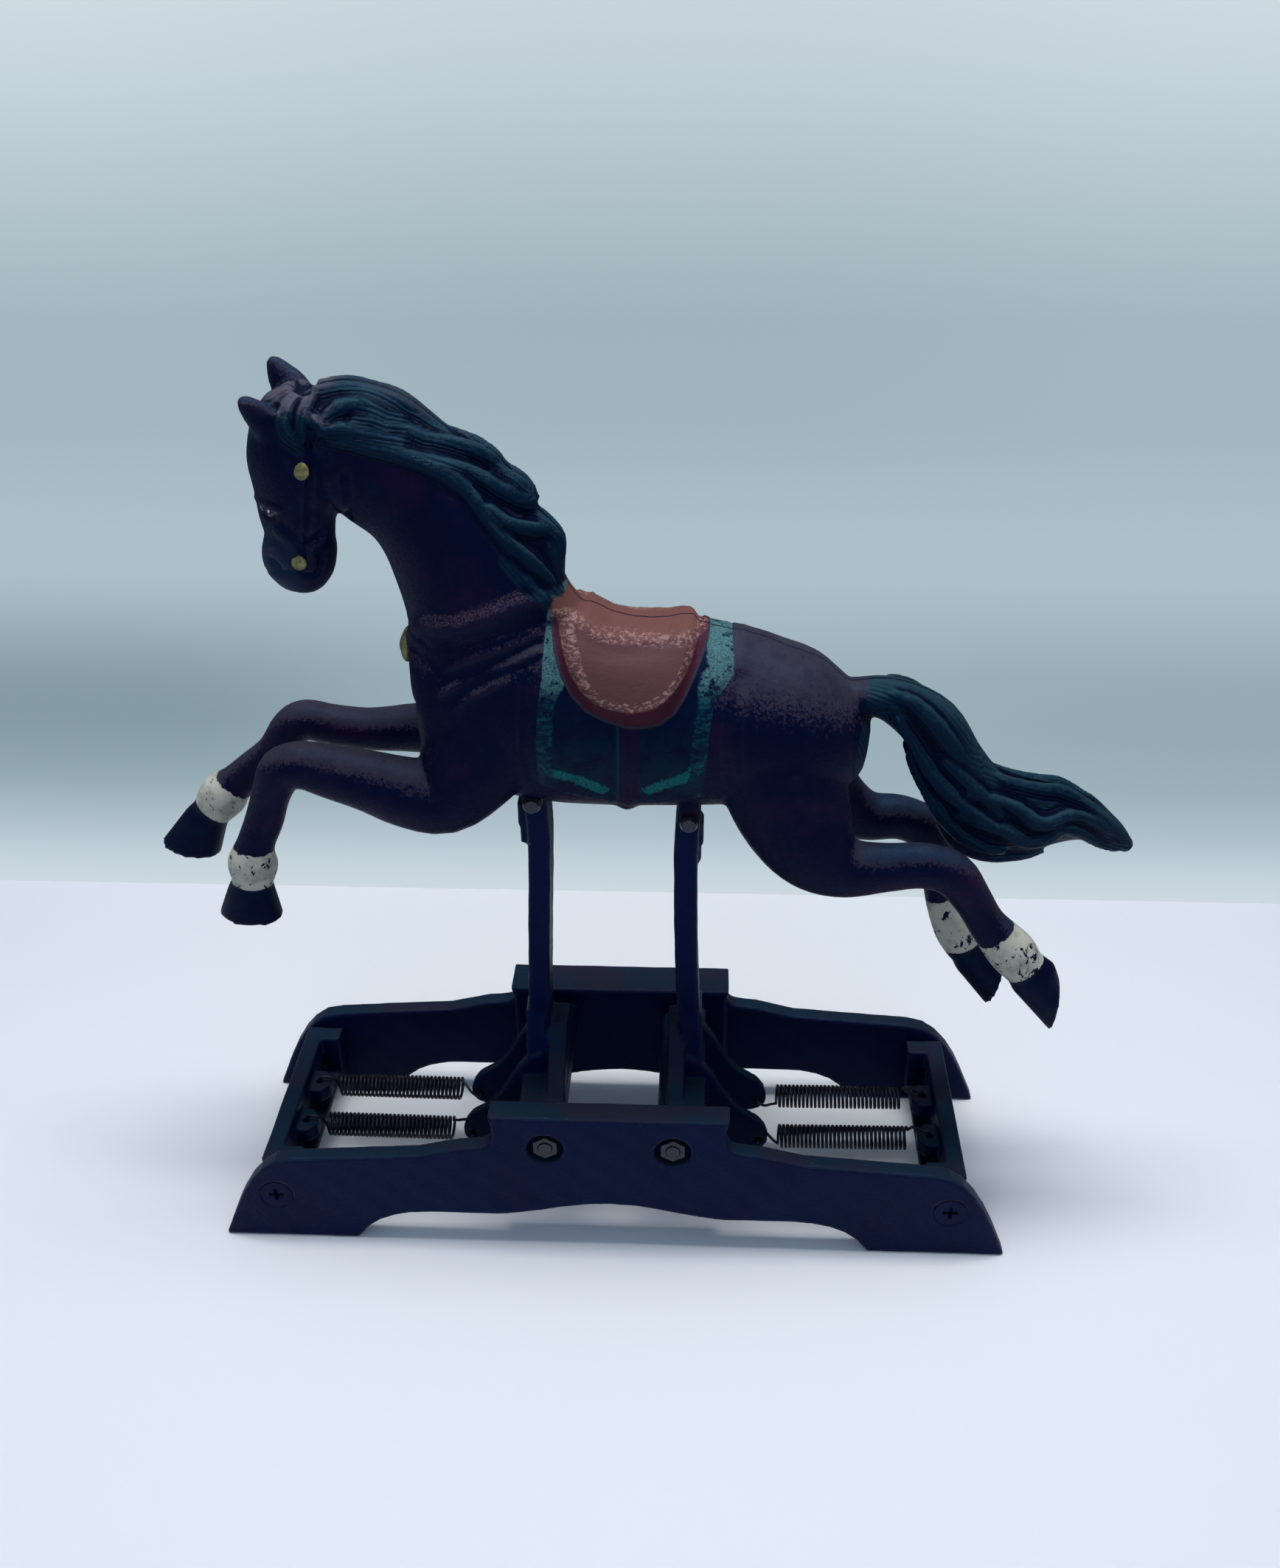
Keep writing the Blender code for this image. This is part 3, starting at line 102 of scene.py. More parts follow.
def smoothPath(stations, steps):
    padded = [stations[0], *stations, stations[-1]]
    finer = []
    for before, start, end, after in zip(padded, padded[1:], padded[2:], padded[3:]):
        for step in range(steps):
            t = step / steps
            finer.append(tuple(0.5 * (2 * s + (e - b) * t + (2 * b - 5 * s + 4 * e - a) * t ** 2
                                      + (3 * s - b - 3 * e + a) * t ** 3)
                               for b, s, e, a in zip(before, start, end, after)))
    finer.append(tuple(stations[-1]))
    return finer


def loftInto(bm, stations, sides, endAlong=None):
    centres = [Vector(station[:3]) for station in stations]
    last = len(stations) - 1
    previous = None
    for index, (x, y, z, deep, wide) in enumerate(stations):
        along = (centres[min(index + 1, last)] - centres[max(index - 1, 0)]).normalized()
        if index == last and endAlong:
            along = Vector(endAlong).normalized()
        side = (Vector((0, 1, 0)) - along * along.y).normalized()
        section = Matrix((along.cross(side) * deep, side * wide, along)).transposed().to_4x4()
        section.translation = centres[index] + Vector((midX, 0, 0))
        ring = bmesh.ops.create_circle(bm, segments=sides, radius=1.0, cap_ends=index in (0, last),
                                       matrix=Matrix.Scale(mm, 4) @ section)
        edges = list({edge for vert in ring["verts"] for edge in vert.link_edges})
        if previous:
            bmesh.ops.bridge_loops(bm, edges=previous + edges)
        previous = edges


def addBlock(bm, low, high):
    made = bmesh.ops.create_cube(bm, size=1.0)
    size = [(b - a) * mm for a, b in zip(low, high)]
    bmesh.ops.scale(bm, vec=size, verts=made["verts"])
    bmesh.ops.translate(bm, vec=placed(*[(a + b) / 2 for a, b in zip(low, high)]), verts=made["verts"])


def addBar(bm, start, end, radius):
    start, end = placed(*start), placed(*end)
    place = Matrix.Translation((start + end) / 2) @ (end - start).to_track_quat("Z", "Y").to_matrix().to_4x4()
    bmesh.ops.create_cone(bm, cap_ends=True, segments=48, radius1=radius * mm, radius2=radius * mm,
                          depth=(end - start).length, matrix=place)


def cutWith(obj, bm, operation):
    tool = finishMesh("tool", bm)
    step = obj.modifiers.new("cut", "BOOLEAN")
    step.operation = operation
    step.solver = "MANIFOLD"
    step.object = tool
    bakeDown(obj)
    bpy.data.objects.remove(tool)


def voxelBlend(obj, size, rounds):
    blend = obj.modifiers.new("blend", "REMESH")
    blend.mode = "VOXEL"
    blend.voxel_size = size * mm
    soften = obj.modifiers.new("soften", "SMOOTH")
    soften.factor = 0.5
    soften.iterations = rounds
    bakeDown(obj)
    obj.data.shade_smooth()


def readMesh(mesh):
    points = np.empty(len(mesh.vertices) * 3, np.float32)
    normals = np.empty(len(mesh.vertices) * 3, np.float32)
    mesh.vertices.foreach_get("co", points)
    mesh.vertex_normals.foreach_get("vector", normals)
    return points.reshape(-1, 3).astype(float) / mm - (midX, 0, 0), normals.reshape(-1, 3).astype(float)


def writePoints(mesh, points):
    mesh.vertices.foreach_set("co", ((points + (midX, 0, 0)) * mm).astype(np.float32).ravel())
    mesh.update()


def writeField(mesh, name, values):
    layer = mesh.attributes.new(name, "FLOAT", "POINT")
    layer.data.foreach_set("value", values.astype(np.float32))


# the way from the nearest spot of a straight stretch to each point
def fromStretch(points, start, end):
    along = end - start
    t = np.clip((points - start) @ along / max(along @ along, 1e-9), 0, 1)
    return points - start - t[:, None] * along


def nearPath(points, path, reach):
    return np.flatnonzero(np.all((points > path.min(0) - reach) & (points < path.max(0) + reach), axis=1))


def pathDistance(points, path, reach):
    path = np.array(path, float)
    best = np.full(len(points), farAway)
    near = nearPath(points, path, reach)
    for start, end in zip(path, path[1:]):
        best[near] = np.minimum(best[near], np.linalg.norm(fromStretch(points[near], start, end), axis=1))
    return best


# distance to the nearest route, and how far to its side a point lies
def hairFlow(points, normals, routes, reach):
    best = np.full(len(points), farAway)
    across = np.zeros(len(points))
    for path in routes:
        path = np.array(path, float)
        near = nearPath(points, path, reach)
        for start, end in zip(path, path[1:]):
            offset = fromStretch(points[near], start, end)
            distance = np.linalg.norm(offset, axis=1)
            closer = distance < best[near]
            chosen = near[closer]
            best[chosen] = distance[closer]
            sideways = np.cross((end - start) / np.linalg.norm(end - start), normals[chosen])
            across[chosen] = np.einsum("ij,ij->i", offset[closer], sideways)
    return best, across


# seen from the side: above zero inside the outline, below it outside
def outlineDistance(points, outline):
    flat = points[:, (0, 2)]
    ring = np.array(outline, float)
    inside = np.zeros(len(flat), bool)
    best = np.full(len(flat), farAway)
    for start, end in zip(ring, np.roll(ring, -1, axis=0)):
        along = end - start
        crosses = (start[1] > flat[:, 1]) != (end[1] > flat[:, 1])
        rise = along[1] if abs(along[1]) > 1e-9 else 1e-9
        inside ^= crosses & (flat[:, 0] < start[0] + (flat[:, 1] - start[1]) * along[0] / rise)
        best = np.minimum(best, np.linalg.norm(fromStretch(flat, start, end), axis=1))
    return np.where(inside, best, -best)


def ramp01(values, low, high):
    t = np.clip((values - low) / (high - low), 0, 1)
    return t * t * (3 - 2 * t)


def softened(mesh, points, rounds):
    edges = np.empty(len(mesh.edges) * 2, np.int32)
    mesh.edges.foreach_get("vertices", edges)
    a, b = edges.reshape(-1, 2).T
    count = np.bincount(a, minlength=len(points)) + np.bincount(b, minlength=len(points))
    soft = points.copy()
    for _ in range(rounds):
        total = np.stack([np.bincount(a, soft[b, k], len(points)) + np.bincount(b, soft[a, k], len(points))
                          for k in range(3)], axis=1)
        soft = total / np.maximum(count, 1)[:, None]
    return soft


def cavity(mesh, points, normals, rounds):
    return np.einsum("ij,ij->i", points - softened(mesh, points, rounds), normals)


# material tools: a socket knows its own node tree, so sums of sockets aren't told it

def shade(r, g, b):
    return tuple((c / 255 / 12.92 if c / 255 <= 0.04045 else ((c / 255 + 0.055) / 1.055) ** 2.4)
                 for c in (r, g, b)) + (1.0,)


def give(socket, value):
    if isinstance(value, bpy.types.NodeSocket):
        value.id_data.links.new(value, socket)
    else:
        socket.default_value = value


def addNode(tree, kind, inputs=None, **settings):
    node = tree.nodes.new(kind)
    for key, value in settings.items():
        setattr(node, key, value)
    for key, value in (inputs or {}).items():
        give(node.inputs[key], value)
    return node


def treeOf(*values):
    return next(value.id_data for value in values if isinstance(value, bpy.types.NodeSocket))


def calc(operation, *values):
    return addNode(treeOf(*values), "ShaderNodeMath", dict(enumerate(values)), operation=operation).outputs[0]


def times(a, b):
    return calc("MULTIPLY", a, b)


def plus(a, b):
    return calc("ADD", a, b)


def minus(a, b):
    return calc("SUBTRACT", a, b)


def band(value, low, high, outLow=0.0, outHigh=1.0):
    return addNode(treeOf(value), "ShaderNodeMapRange",
                   {"Value": value, "From Min": low, "From Max": high, "To Min": outLow, "To Max": outHigh},
                   interpolation_type="SMOOTHSTEP").outputs[0]


def blendColour(fac, a, b):
    return addNode(treeOf(fac, a, b), "ShaderNodeMix", {0: fac, 6: a, 7: b}, data_type="RGBA").outputs[2]


def axes(tree, word):
    coords = addNode(tree, "ShaderNodeTexCoord").outputs[word]
    return addNode(tree, "ShaderNodeSeparateXYZ", {0: coords}).outputs


# the size is that of the blots, in mm
def noiseFac(tree, size, detail=3.0, roughness=0.55, stretch=None, distortion=0.0):
    where = addNode(tree, "ShaderNodeTexCoord").outputs["Object"]
    if stretch:
        where = addNode(tree, "ShaderNodeMapping", {"Vector": where, "Scale": stretch}).outputs[0]
    settings = {"Vector": where, "Scale": 1 / (size * mm), "Detail": detail, "Roughness": roughness,
                "Distortion": distortion}
    return addNode(tree, "ShaderNodeTexNoise", settings).outputs["Fac"]


def field(tree, name):
    return addNode(tree, "ShaderNodeAttribute", attribute_name=name).outputs["Fac"]


def newMaterial(name):
    material = bpy.data.materials.new(name)
    material.use_nodes = True
    tree = material.node_tree
    return material, tree, tree.nodes["Principled BSDF"]


def feed(shader, **sockets):
    names = {"colour": "Base Color", "roughness": "Roughness", "metallic": "Metallic", "normal": "Normal",
             "specular": "Specular IOR Level", "tint": "Specular Tint"}
    for key, value in sockets.items():
        give(shader.inputs[names[key]], value)


def showMix(tree, fac, first, second):
    return addNode(tree, "ShaderNodeMixShader", {0: fac, 1: first.outputs[0], 2: second.outputs[0]})


def sandBump(height, strength, distance):
    return addNode(treeOf(height), "ShaderNodeBump", {"Height": height, "Strength": strength,
                                                      "Distance": distance * mm}).outputs[0]


# frame and levers: cast iron under satin black paint

iron = {"voxel": 0.62, "softRounds": 2, "waviness": 0.05, "navy": shade(3, 11, 50), "black": shade(3, 8, 44),
        "lit": shade(19, 36, 52), "brown": shade(32, 32, 46), "chip": shade(100, 104, 110),
        "tint": (0.15, 0.4, 1.0, 1.0)}


def ironPaint():
    material, tree, shader = newMaterial("blackIron")
    broad = noiseFac(tree, 26, 3)
    grain = noiseFac(tree, 1.1, 3, 0.65)
    fine = noiseFac(tree, 0.45, 2, 0.6)
    wear = field(tree, "edgeWear")
    # painted highlight: upward faces take the lit colour, blotched with brown; random flecks elsewhere take a
    # little of it
    top = band(plus(axes(tree, "Normal")["Z"], times(minus(grain, 0.5), 0.5)), 0.30, 0.8)
    colour = blendColour(band(broad, 0.35, 0.7), iron["navy"], iron["black"])
    lit = blendColour(band(broad, 0.42, 0.6), iron["lit"], iron["brown"])
    colour = blendColour(top, colour, lit)
    colour = blendColour(band(grain, 0.54, 0.72, 0.0, 0.25), colour, lit)
    worn = times(band(wear, 0.02, 0.09), band(fine, 0.40, 0.62))
    colour = blendColour(times(worn, 0.4), colour, iron["brown"])
    chips = times(band(noiseFac(tree, 2.3, 4, 0.7), 0.70, 0.73), band(wear, 0.01, 0.06))
    colour = blendColour(times(chips, 0.8), colour, iron["chip"])
    height = plus(times(grain, 0.7), times(fine, 0.3))
    feed(shader, colour=colour, roughness=band(grain, 0.3, 0.7, 0.42, 0.62),
         normal=sandBump(height, 0.55, 0.16), specular=0.16, tint=iron["tint"])
    return material


blackIron = ironPaint()


def castCopy(node, name, body):
    bm = bmesh.new()
    bm.from_mesh(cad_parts[node].data)
    bmesh.ops.remove_doubles(bm, verts=bm.verts[:], dist=0.01 * mm)
    piece = linkNew(name, meshFrom(name, bm))
    voxelBlend(piece, iron["voxel"], iron["softRounds"])
    points, normals = readMesh(piece.data)
    x, y, z = points.T
    seed = sum(ord(letter) for letter in name)
    wave = np.sin(x / 5.3 + seed) * np.sin(z / 4.1 + y / 3.7) + 0.6 * np.sin(x / 2.1 + z / 1.7 + seed * 2)
    points += normals * (wave * iron["waviness"])[:, None]
    writePoints(piece.data, points)
    writeField(piece.data, "edgeWear", cavity(piece.data, points, normals, 4))
    coatWith(piece.data, blackIron)
    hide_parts(node)
    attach(piece, body)


for node in ("left_side_rail", "right_side_rail", "front_cross_piece", "rear_cross_piece"):
    castCopy(node, "cast_" + node, "base")
for node in ("front_lever", "rear_lever"):
    castCopy(node, "cast_" + node, node)
print("frame and levers cast")


# screws, bolts, nuts and pins

hardware = {"steel": shade(44, 46, 56), "rubbed": shade(96, 92, 90)}


def steelFinish():
    material, tree, shader = newMaterial("darkSteel")
    rub = noiseFac(tree, 1.6, 4, 0.6)
    colour = blendColour(band(rub, 0.52, 0.75, 0.0, 0.6), hardware["steel"], hardware["rubbed"])
    feed(shader, colour=colour, roughness=band(rub, 0.3, 0.7, 0.36, 0.55), metallic=0.55,
         normal=sandBump(noiseFac(tree, 0.3, 2), 0.35, 0.05))
    return material


darkSteel = steelFinish()
for name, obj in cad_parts.items():
    if any(word in name for word in ("screw", "bolt", "nut", "pin")):
        coatWith(obj.data, blackIron if "end_screw" in name else darkSteel)
print("hardware finished")


# springs: close wound, hooked into the lugs and the arms' tips

spring = {"curls": 31, "wire": 0.92, "outside": 7.7, "pointsPerCurl": 20, "armOffset": 9.2,
          "armThickness": 3.6, "lugTop": 22.5, "lugHeight": 5.2, "lugHole": 99.6, "toLug": 7.0, "toTip": 6.4,
          "axisHeight": 21, "tipRise": 0.5, "hookRise": 1.4, "armGap": 1.2,
          "tips": {"front": (-45.5, 20.0), "rear": (45.5, 20.0)}, "oil": shade(20, 23, 44),
          "dry": shade(56, 62, 74)}


def springSteel():
    material, tree, shader = newMaterial("springSteel")
    stain = noiseFac(tree, 3.0, 4, 0.6)
    feed(shader, colour=blendColour(band(stain, 0.45, 0.72), spring["oil"], spring["dry"]), metallic=0.6,
         roughness=band(stain, 0.3, 0.7, 0.32, 0.5), normal=sandBump(noiseFac(tree, 0.35, 2), 0.4, 0.04))
    return material


oiledSteel = springSteel()


def springRoute(end, side, tipX, tipZ):
    y = side * spring["armOffset"]
    holeX = end * spring["lugHole"]
    radius = (spring["outside"] - spring["wire"]) / 2
    first = Vector((holeX - end * spring["toLug"], y, spring["axisHeight"]))
    last = Vector((tipX + end * spring["toTip"], y, tipZ + spring["tipRise"]))
    axis = (last - first).normalized()
    up = (Vector((0, 0, 1)) - axis * axis.z).normalized()
    across = axis.cross(up)
    phase = math.pi if end < 0 else 0.0
    steps = int((spring["curls"] + 0.5) * spring["pointsPerCurl"])
    curls = []
    for step in range(steps + 1):
        angle = phase + 2 * math.pi * step / spring["pointsPerCurl"]
        turned = (up * math.cos(angle) + across * math.sin(angle)) * radius
        curls.append(first.lerp(last, step / steps) + turned)
    # the hook goes up through the lug's hole and over to the first curl
    foot = spring["lugTop"] - spring["lugHeight"]
    rise = spring["lugTop"] + spring["hookRise"]
    halfway = (rise + curls[0].z) / 2
    hook = [(0.3, foot - 2.6), (0, foot - 0.6), (0, foot + 2.6), (0, spring["lugTop"] + 0.3), (-0.8, rise),
            (-2.4, rise + 0.3)]
    if end < 0:
        hook += [(-4.7, rise - 0.3), (-6.2, halfway + 0.6)]
    else:
        hook += [(-4.4, rise + 1.4), (-5.9, halfway + 1.6)]
    hook = smoothPath([(holeX + end * x, y, z) for x, z in hook], 4)
    # the other end passes beside the arm and through the hole in its tip
    after = curls[-1]
    beside = y - side * (spring["armThickness"] / 2 + spring["armGap"])
    reach = [(after.x - end * 1.6, after.y - side * 1.0, after.z + (tipZ - after.z) * 0.25),
             (tipX + end * 2.6, beside, tipZ + (after.z - tipZ) * 0.35), (tipX + end * 0.6, beside, tipZ),
             (tipX, y - side * 1.4, tipZ), (tipX, y, tipZ), (tipX, y + side * 3.0, tipZ + 0.2)]
    return hook + [tuple(point) for point in curls] + smoothPath(reach, 4)


def makeSpring(end, side):
    word = "front" if end < 0 else "rear"
    name = word + ("_left" if side < 0 else "_right")
    tipX, tipZ = spring["tips"][word]
    curve = bpy.data.curves.new(name + "_coil", "CURVE")
    curve.dimensions = "3D"
    curve.bevel_depth = spring["wire"] / 2 * mm
    curve.bevel_resolution = 2
    curve.use_fill_caps = True
    route = springRoute(end, side, tipX, tipZ)
    spline = curve.splines.new("POLY")
    spline.points.add(len(route) - 1)
    for target, point in zip(spline.points, route):
        target.co = (*placed(*point), 1.0)
    wire = linkNew(name + "_wire", curve)
    mesh = evaluatedMesh(wire)
    bpy.data.objects.remove(wire)
    mesh.shade_smooth()
    coatWith(mesh, oiledSteel)
    piece = linkNew(name + "_coil", mesh)
    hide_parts(name + "_spring")
    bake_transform(piece)


for end in (-1, 1):
    for side in (-1, 1):
        makeSpring(end, side)
print("springs wound")


# horse: one blended casting, sculpted, then parted along the middle

# a station of a lofted shape is x, y, z, half the section's depth and half its width
horse = {
    "voxel": 0.8, "softRounds": 3, "seamGap": 0.01,
    "trunk": [(-52.6, 0, 180, 5, 5), (-51.8, 0, 180, 10, 9), (-49.4, 0, 180, 15, 13),
              (-43.6, 0, 178.4, 23, 16), (-34, 0, 174, 29.4, 18.5), (-22, 0, 172.4, 29.8, 20),
              (-9, 0, 170.3, 29.8, 20.2), (3, 0, 168.4, 28.1, 20.4), (14, 0, 167.6, 26.9, 20.6),
              (28, 0, 167.3, 26.1, 20.8), (44, 0, 165.9, 23.9, 20.6), (55.6, 0, 162.4, 20.4, 19.4),
              (64.8, 0, 160, 15.4, 15), (70.6, 0, 159, 8.5, 8)],
    "neck": [(-31, 0, 181, 22.6, 17), (-31, 0, 199, 21.9, 15.2), (-37.2, 0, 217.9, 20.2, 13),
             (-46.4, 0, 230.8, 17.8, 11), (-58, 0, 239.6, 17.2, 9.4), (-68.5, 0, 246.5, 12.4, 8.4),
             (-74, 0, 249, 9, 7.4)],
    "head": [(-71.9, 0, 252.5, 7.4, 6.6), (-76.4, 0, 248, 10.6, 8.6), (-77.4, 0, 240, 12.4, 9.6),
             (-78, 0, 232, 11.4, 9), (-78.9, 0, 225, 10.1, 7.6), (-79, 0, 219, 9.2, 6.6),
             (-80.2, 0, 212.7, 9.6, 6.8), (-80.9, 0, 207.3, 7.9, 6), (-81.6, 0, 204.2, 4.7, 4)],
    "chin": [(-74.9, 0, 222, 4.2, 4.5), (-74.1, 0, 216, 4.4, 5), (-75.4, 0, 210, 4.3, 4.8),
             (-77.4, 0, 206.5, 3.4, 3.6)],
    "tail": [(60, 0, 173.6, 4.4, 6), (68, 0, 174, 4.8, 6), (77.4, 0, 172.8, 6.4, 6.4), (88, 0, 165.6, 8.4, 7),
             (94.4, 0, 154.4, 9.2, 7.4), (100, 0, 145, 10.6, 8), (107, 0, 138, 11.8, 8.2),
             (117.5, 0, 136.2, 10.6, 7.8), (126.4, 0, 136.6, 8.4, 6.6), (134.4, 0, 135.2, 6.2, 5),
             (142, 0, 130.8, 4.4, 3.6), (148, 0, 126.2, 1.8, 1.7)],
    "maneBed": [(-73, 0, 251, 4, 5.5), (-69, 0, 253.2, 4.6, 6), (-58, 0, 254.2, 4.6, 6),
                (-49.5, 0, 249.2, 4.8, 5.8), (-41, 0, 241.4, 4.8, 5.6), (-32, 0, 235.2, 5, 5.6),
                (-24.2, 0, 228, 5, 5), (-19.4, 0, 221.8, 4.8, 4.8), (-15, 0, 216, 4.6, 4.6),
                (-14.6, 0, 208, 4.2, 5.4)],
    "ears": [[(-80.6, -5, 247.4, 4.9, 3.5), (-83.1, -6.2, 251.6, 4.1, 2.8), (-85.4, -7, 254.5, 2.9, 2.2),
              (-86.6, -7.5, 256.3, 1.8, 1.5), (-87.1, -7.7, 257.1, 0.7, 0.7)],
             [(-75.9, 5, 250, 6, 3.8), (-78.4, 6.2, 255.4, 5.2, 3.2), (-80.5, 6.9, 258.8, 3.8, 2.5),
              (-82, 7.3, 261.6, 2.2, 1.8), (-82.5, 7.4, 263, 0.9, 0.9)]],
    "legs": {
        "leftFore": [(-29, -8.5, 170, 18, 11), (-37.5, -11, 155.4, 14.2, 9.8), (-45.3, -12.6, 147.3, 11, 8.8),
                     (-55.8, -13, 149.1, 10.3, 8.4), (-65.3, -13, 152.3, 9, 7.4), (-75.2, -13, 155, 7.9, 6.6),
                     (-83, -13, 157, 7, 6), (-89, -13, 155.2, 6.5, 5.6), (-92.9, -13, 148, 5.4, 5),
                     (-96, -13, 139.4, 5.4, 4.6), (-99.7, -13, 131, 5.4, 5), (-101.4, -13, 124.6, 7.2, 6),
                     (-102.1, -13, 118.6, 5.8, 5.4)],
        "rightFore": [(-30, 8.5, 171, 18, 11), (-40, 11, 159.5, 12, 9.4), (-50.9, 12.6, 155.6, 8, 8),
                      (-59.6, 13, 154.8, 6.9, 6.8), (-70.4, 13, 154.3, 6.2, 6.2), (-81, 13, 155.6, 6, 5.8),
                      (-88.3, 13, 157, 6, 5.6), (-93.2, 13, 154, 5.8, 5.4), (-98.8, 13, 146.8, 5.1, 4.8),
                      (-106, 13, 140.9, 5, 4.4), (-111.7, 13, 135.6, 5.6, 4.8), (-116.2, 13, 131.3, 7.2, 6),
                      (-120.6, 13, 125.6, 5.8, 5.4)],
        "leftHind": [(46, -8, 161, 18.2, 12.5), (50.2, -10.5, 146.6, 16.6, 11.2),
                     (55.4, -12.5, 136, 14.3, 10), (60.8, -13.6, 130, 11.8, 8.4), (67.8, -14, 127, 9, 7),
                     (78, -14, 127.4, 7.3, 6), (87.8, -14, 128.2, 6.9, 5.4), (96.3, -14, 125.4, 6.6, 5.2),
                     (102.4, -14, 117.4, 5.6, 4.8), (107.6, -14, 108.8, 5.5, 4.9), (115.4, -14, 99.4, 7, 6),
                     (120.2, -14, 92.8, 5.9, 5.3)],
        "rightHind": [(46, 8, 161, 18.4, 12.5), (54, 10.5, 147, 15, 11), (63, 12.8, 134.4, 11, 8.8),
                      (74.1, 14, 127, 7.8, 6.8), (84.5, 14, 126.5, 6.9, 5.8), (93, 14, 121.8, 6.6, 5.2),
                      (96.8, 14, 110.4, 5.2, 4.7), (99.4, 14, 97, 4.9, 4.6), (104.2, 14, 86.4, 6.2, 5.6),
                      (108.2, 14, 78.6, 5.4, 5)],
    },
    "hooves": [([(-102.2, -13, 119.4, 5.5, 5), (-103, -13, 115.4, 6.8, 5.8),
                 (-104.3, -13, 106.8, 9.2, 6.8)], (-0.1, 0, -1)),
               ([(-119.8, 13, 126.8, 5.3, 5), (-123, 13, 122.4, 6.5, 5.8),
                 (-129, 13, 112.7, 8.9, 6.8)], (-0.25, 0, -1)),
               ([(119.5, -14, 94.3, 5.9, 5), (122.8, -14, 90.3, 7.1, 5.6),
                 (129.8, -14, 80.9, 9.2, 6.6)], (1, 0, -0.05)),
               ([(107.9, 14, 80, 5.3, 5), (110.8, 14, 75.4, 6, 5.4),
                 (118.4, 14, 66.2, 7.8, 6.4)], (1, 0, -0.3))],
}

